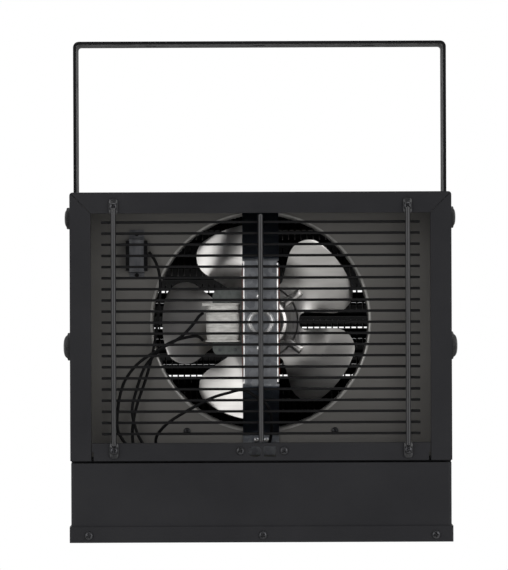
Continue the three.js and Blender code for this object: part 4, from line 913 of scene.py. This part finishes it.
def return_bend(z, x=130.0, sides=20, steps=24):
    """A half torus of radius PITCH / 2 in the x, z plane about (x, z)."""
    t = np.linspace(-pi / 2, pi / 2, steps)[:, None]
    a = (np.arange(sides) * 2 * pi / sides)[None, :]
    reach = PITCH / 2 + TUBE_R * np.cos(a)
    y = ELEMENT_Y + TUBE_R * np.sin(a) + 0 * t
    points = np.stack([x + reach * np.cos(t), y, z + reach * np.sin(t)], axis=-1)
    return skin(points * MM, close_columns=True)


for i in range(3):
    middle = -283.75 + (1 - i) * 2 * PITCH
    parts = [finned_run(middle - PITCH / 2), finned_run(middle + PITCH / 2), return_bend(middle)]
    tube = piece(f"finned_tube_{i + 1}", parts, oxidised, "case",
                 [f"heating_element_{i + 1}"], 50)
print("three finned tubes,", len(tube.data.polygons), "faces each")

# %% [markdown]
# ## Louvres
# Each louvre is a thin blade with both edges rolled round, and a pin at each end. The top one
# stands more closed than the others.

# %% Rolled louvres
LOUVRE_Y, LOUVRE_PITCH, OUTLET_Z = 145.0, 39.8, -284.0


def louvre(height, tilt, reach=18.1, bead=1.8, half=155.0):
    """A blade 1.2 thick between two rolled edges, turned by its tilt about the line of its pins."""
    c, s = np.cos(radians(tilt)), np.sin(radians(tilt))
    blade_corners = np.array([(-reach, -0.6), (reach, -0.6), (reach, 0.6), (-reach, 0.6)])
    rows = []
    for x, scale in ((-half, 0), (-half, 1), (half, 1), (half, 0)):
        p = blade_corners * scale
        y, z = LOUVRE_Y + p[:, 0] * c + p[:, 1] * s, height - p[:, 0] * s + p[:, 1] * c
        rows.append(np.stack([np.full(4, x), y, z], axis=-1))
    parts = [skin(np.array(rows) * MM, close_columns=True)]
    for along in (-reach, reach):
        parts.append(rod("+x", (0, LOUVRE_Y + along * c, height - along * s), bead, -half, half, 16, 0.5))
    parts.append(rod("+x", (0, LOUVRE_Y, height), 2.0, -158.2, 158.2, 16))
    return parts


for i, edge in enumerate((1.8, 1.6, 1.6, 2.5, 1.8)):
    parts = louvre(OUTLET_Z + (2 - i) * LOUVRE_PITCH, 40 if i else 52, bead=edge)
    piece(f"rolled_louvre_{i + 1}", parts, case_coat, f"louver_{i + 1}", [f"louver_{i + 1}"])
print("five louvres")

# %% [markdown]
# ## Leads
# Each lead is a round insulated wire that droops from one fixed end to the other. A smooth curve
# passes through the same points as the solid's, and a round section follows it.

# %% Lead curves
def smooth_route(points, samples=8):
    """A centripetal Catmull-Rom curve through the points, as whole arrays."""
    p = np.asarray(points, float)
    p = np.vstack([2 * p[0] - p[1], p, 2 * p[-1] - p[-2]])
    p0, p1, p2, p3 = p[:-3], p[1:-2], p[2:-1], p[3:]
    d1 = np.linalg.norm(p1 - p0, axis=1) ** 0.5
    d2 = np.linalg.norm(p2 - p1, axis=1) ** 0.5
    d3 = np.linalg.norm(p3 - p2, axis=1) ** 0.5
    m1 = (p2 - p1) + (d2 / d1)[:, None] * (p1 - p0) - (d2 / (d1 + d2))[:, None] * (p2 - p0)
    m2 = (p2 - p1) + (d2 / d3)[:, None] * (p3 - p2) - (d2 / (d2 + d3))[:, None] * (p3 - p1)
    t = (np.arange(samples) / samples)[None, :, None]
    a, b = p1[:, None], p2[:, None]
    m1, m2 = m1[:, None], m2[:, None]
    curve = ((2 * t**3 - 3 * t**2 + 1) * a + (t**3 - 2 * t**2 + t) * m1
             + (-2 * t**3 + 3 * t**2) * b + (t**3 - t**2) * m2)
    return np.vstack([curve.reshape(-1, 3), p[-2][None]])


def lead(name, points, radius, node_name):
    """A curve with a round bevel along the smooth route."""
    route = smooth_route(points) * MM
    data = bpy.data.curves.new(name, "CURVE")
    data.dimensions = "3D"
    line = data.splines.new("POLY")
    line.points.add(len(route) - 1)
    line.points.foreach_set("co", np.hstack([route, np.ones((len(route), 1))]).ravel())
    data.bevel_depth = radius * MM
    data.bevel_resolution = 4
    data.use_fill_caps = True
    data.materials.append(rubber)
    thing = bpy.data.objects.new(name, data)
    bpy.context.scene.collection.objects.link(thing)
    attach(thing, "case")
    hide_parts(node_name)
    length = np.linalg.norm(np.diff(route, axis=0), axis=1).sum()
    print(name, round(length, 3), "m")
    return thing


def with_tail(upper, below):
    """Route points as (x, inset, drop), and three x values under the floor, as points in millimetres."""
    upper = np.asarray(upper, float)
    top = np.stack([upper[:, 0], REAR + upper[:, 1], -160 - 263 * upper[:, 2]], axis=-1)
    low = np.array([[x, -124.0, z] for x, z in zip(below, (-424.0, -441.0, -459.0))])
    return np.vstack([top, low])


lead("limit_wire", with_tail([
    (-111, 56, 0.221), (-105.5, 53, 0.251), (-101, 51, 0.300), (-100, 51, 0.365), (-102, 52, 0.456),
    (-107, 53, 0.589), (-114, 53, 0.692), (-124, 51, 0.806), (-128, 47, 0.890), (-127, 42, 0.954)],
    (-124, -120, -118)), 1.5, "limit_lead")
lead("motor_wire_a", with_tail([
    (-57, 27, 0.452), (-61, 23, 0.464), (-66, 22, 0.490), (-80, 24, 0.544), (-105, 29, 0.597),
    (-123, 33, 0.646), (-136, 37, 0.715), (-142, 39, 0.810), (-142, 41, 0.897), (-133, 41, 0.958)],
    (-130, -129, -129)), 1.5, "motor_lead_a")
lead("motor_wire_b", with_tail([
    (-57, 33, 0.555), (-62, 32, 0.540), (-72, 31, 0.542), (-92, 33, 0.567), (-104, 36, 0.605),
    (-115, 38, 0.654), (-123, 40, 0.734), (-128, 41, 0.821), (-123, 41, 0.905), (-116, 41, 0.958)],
    (-113, -109, -107)), 1.5, "motor_lead_b")
lead("earth_wire", with_tail([
    (8, 55, 0.951), (10, 47, 0.916), (10.5, 29, 0.871), (9, 13, 0.825), (4, 4.5, 0.787), (-6, 4, 0.760),
    (-18, 4.5, 0.738), (-32, 8, 0.749), (-48, 14, 0.768), (-62, 18, 0.795), (-78, 23, 0.829),
    (-94, 29, 0.871), (-104, 37, 0.920), (-104, 41, 0.962)], (-101, -98, -96)), 1.5, "earth_lead")
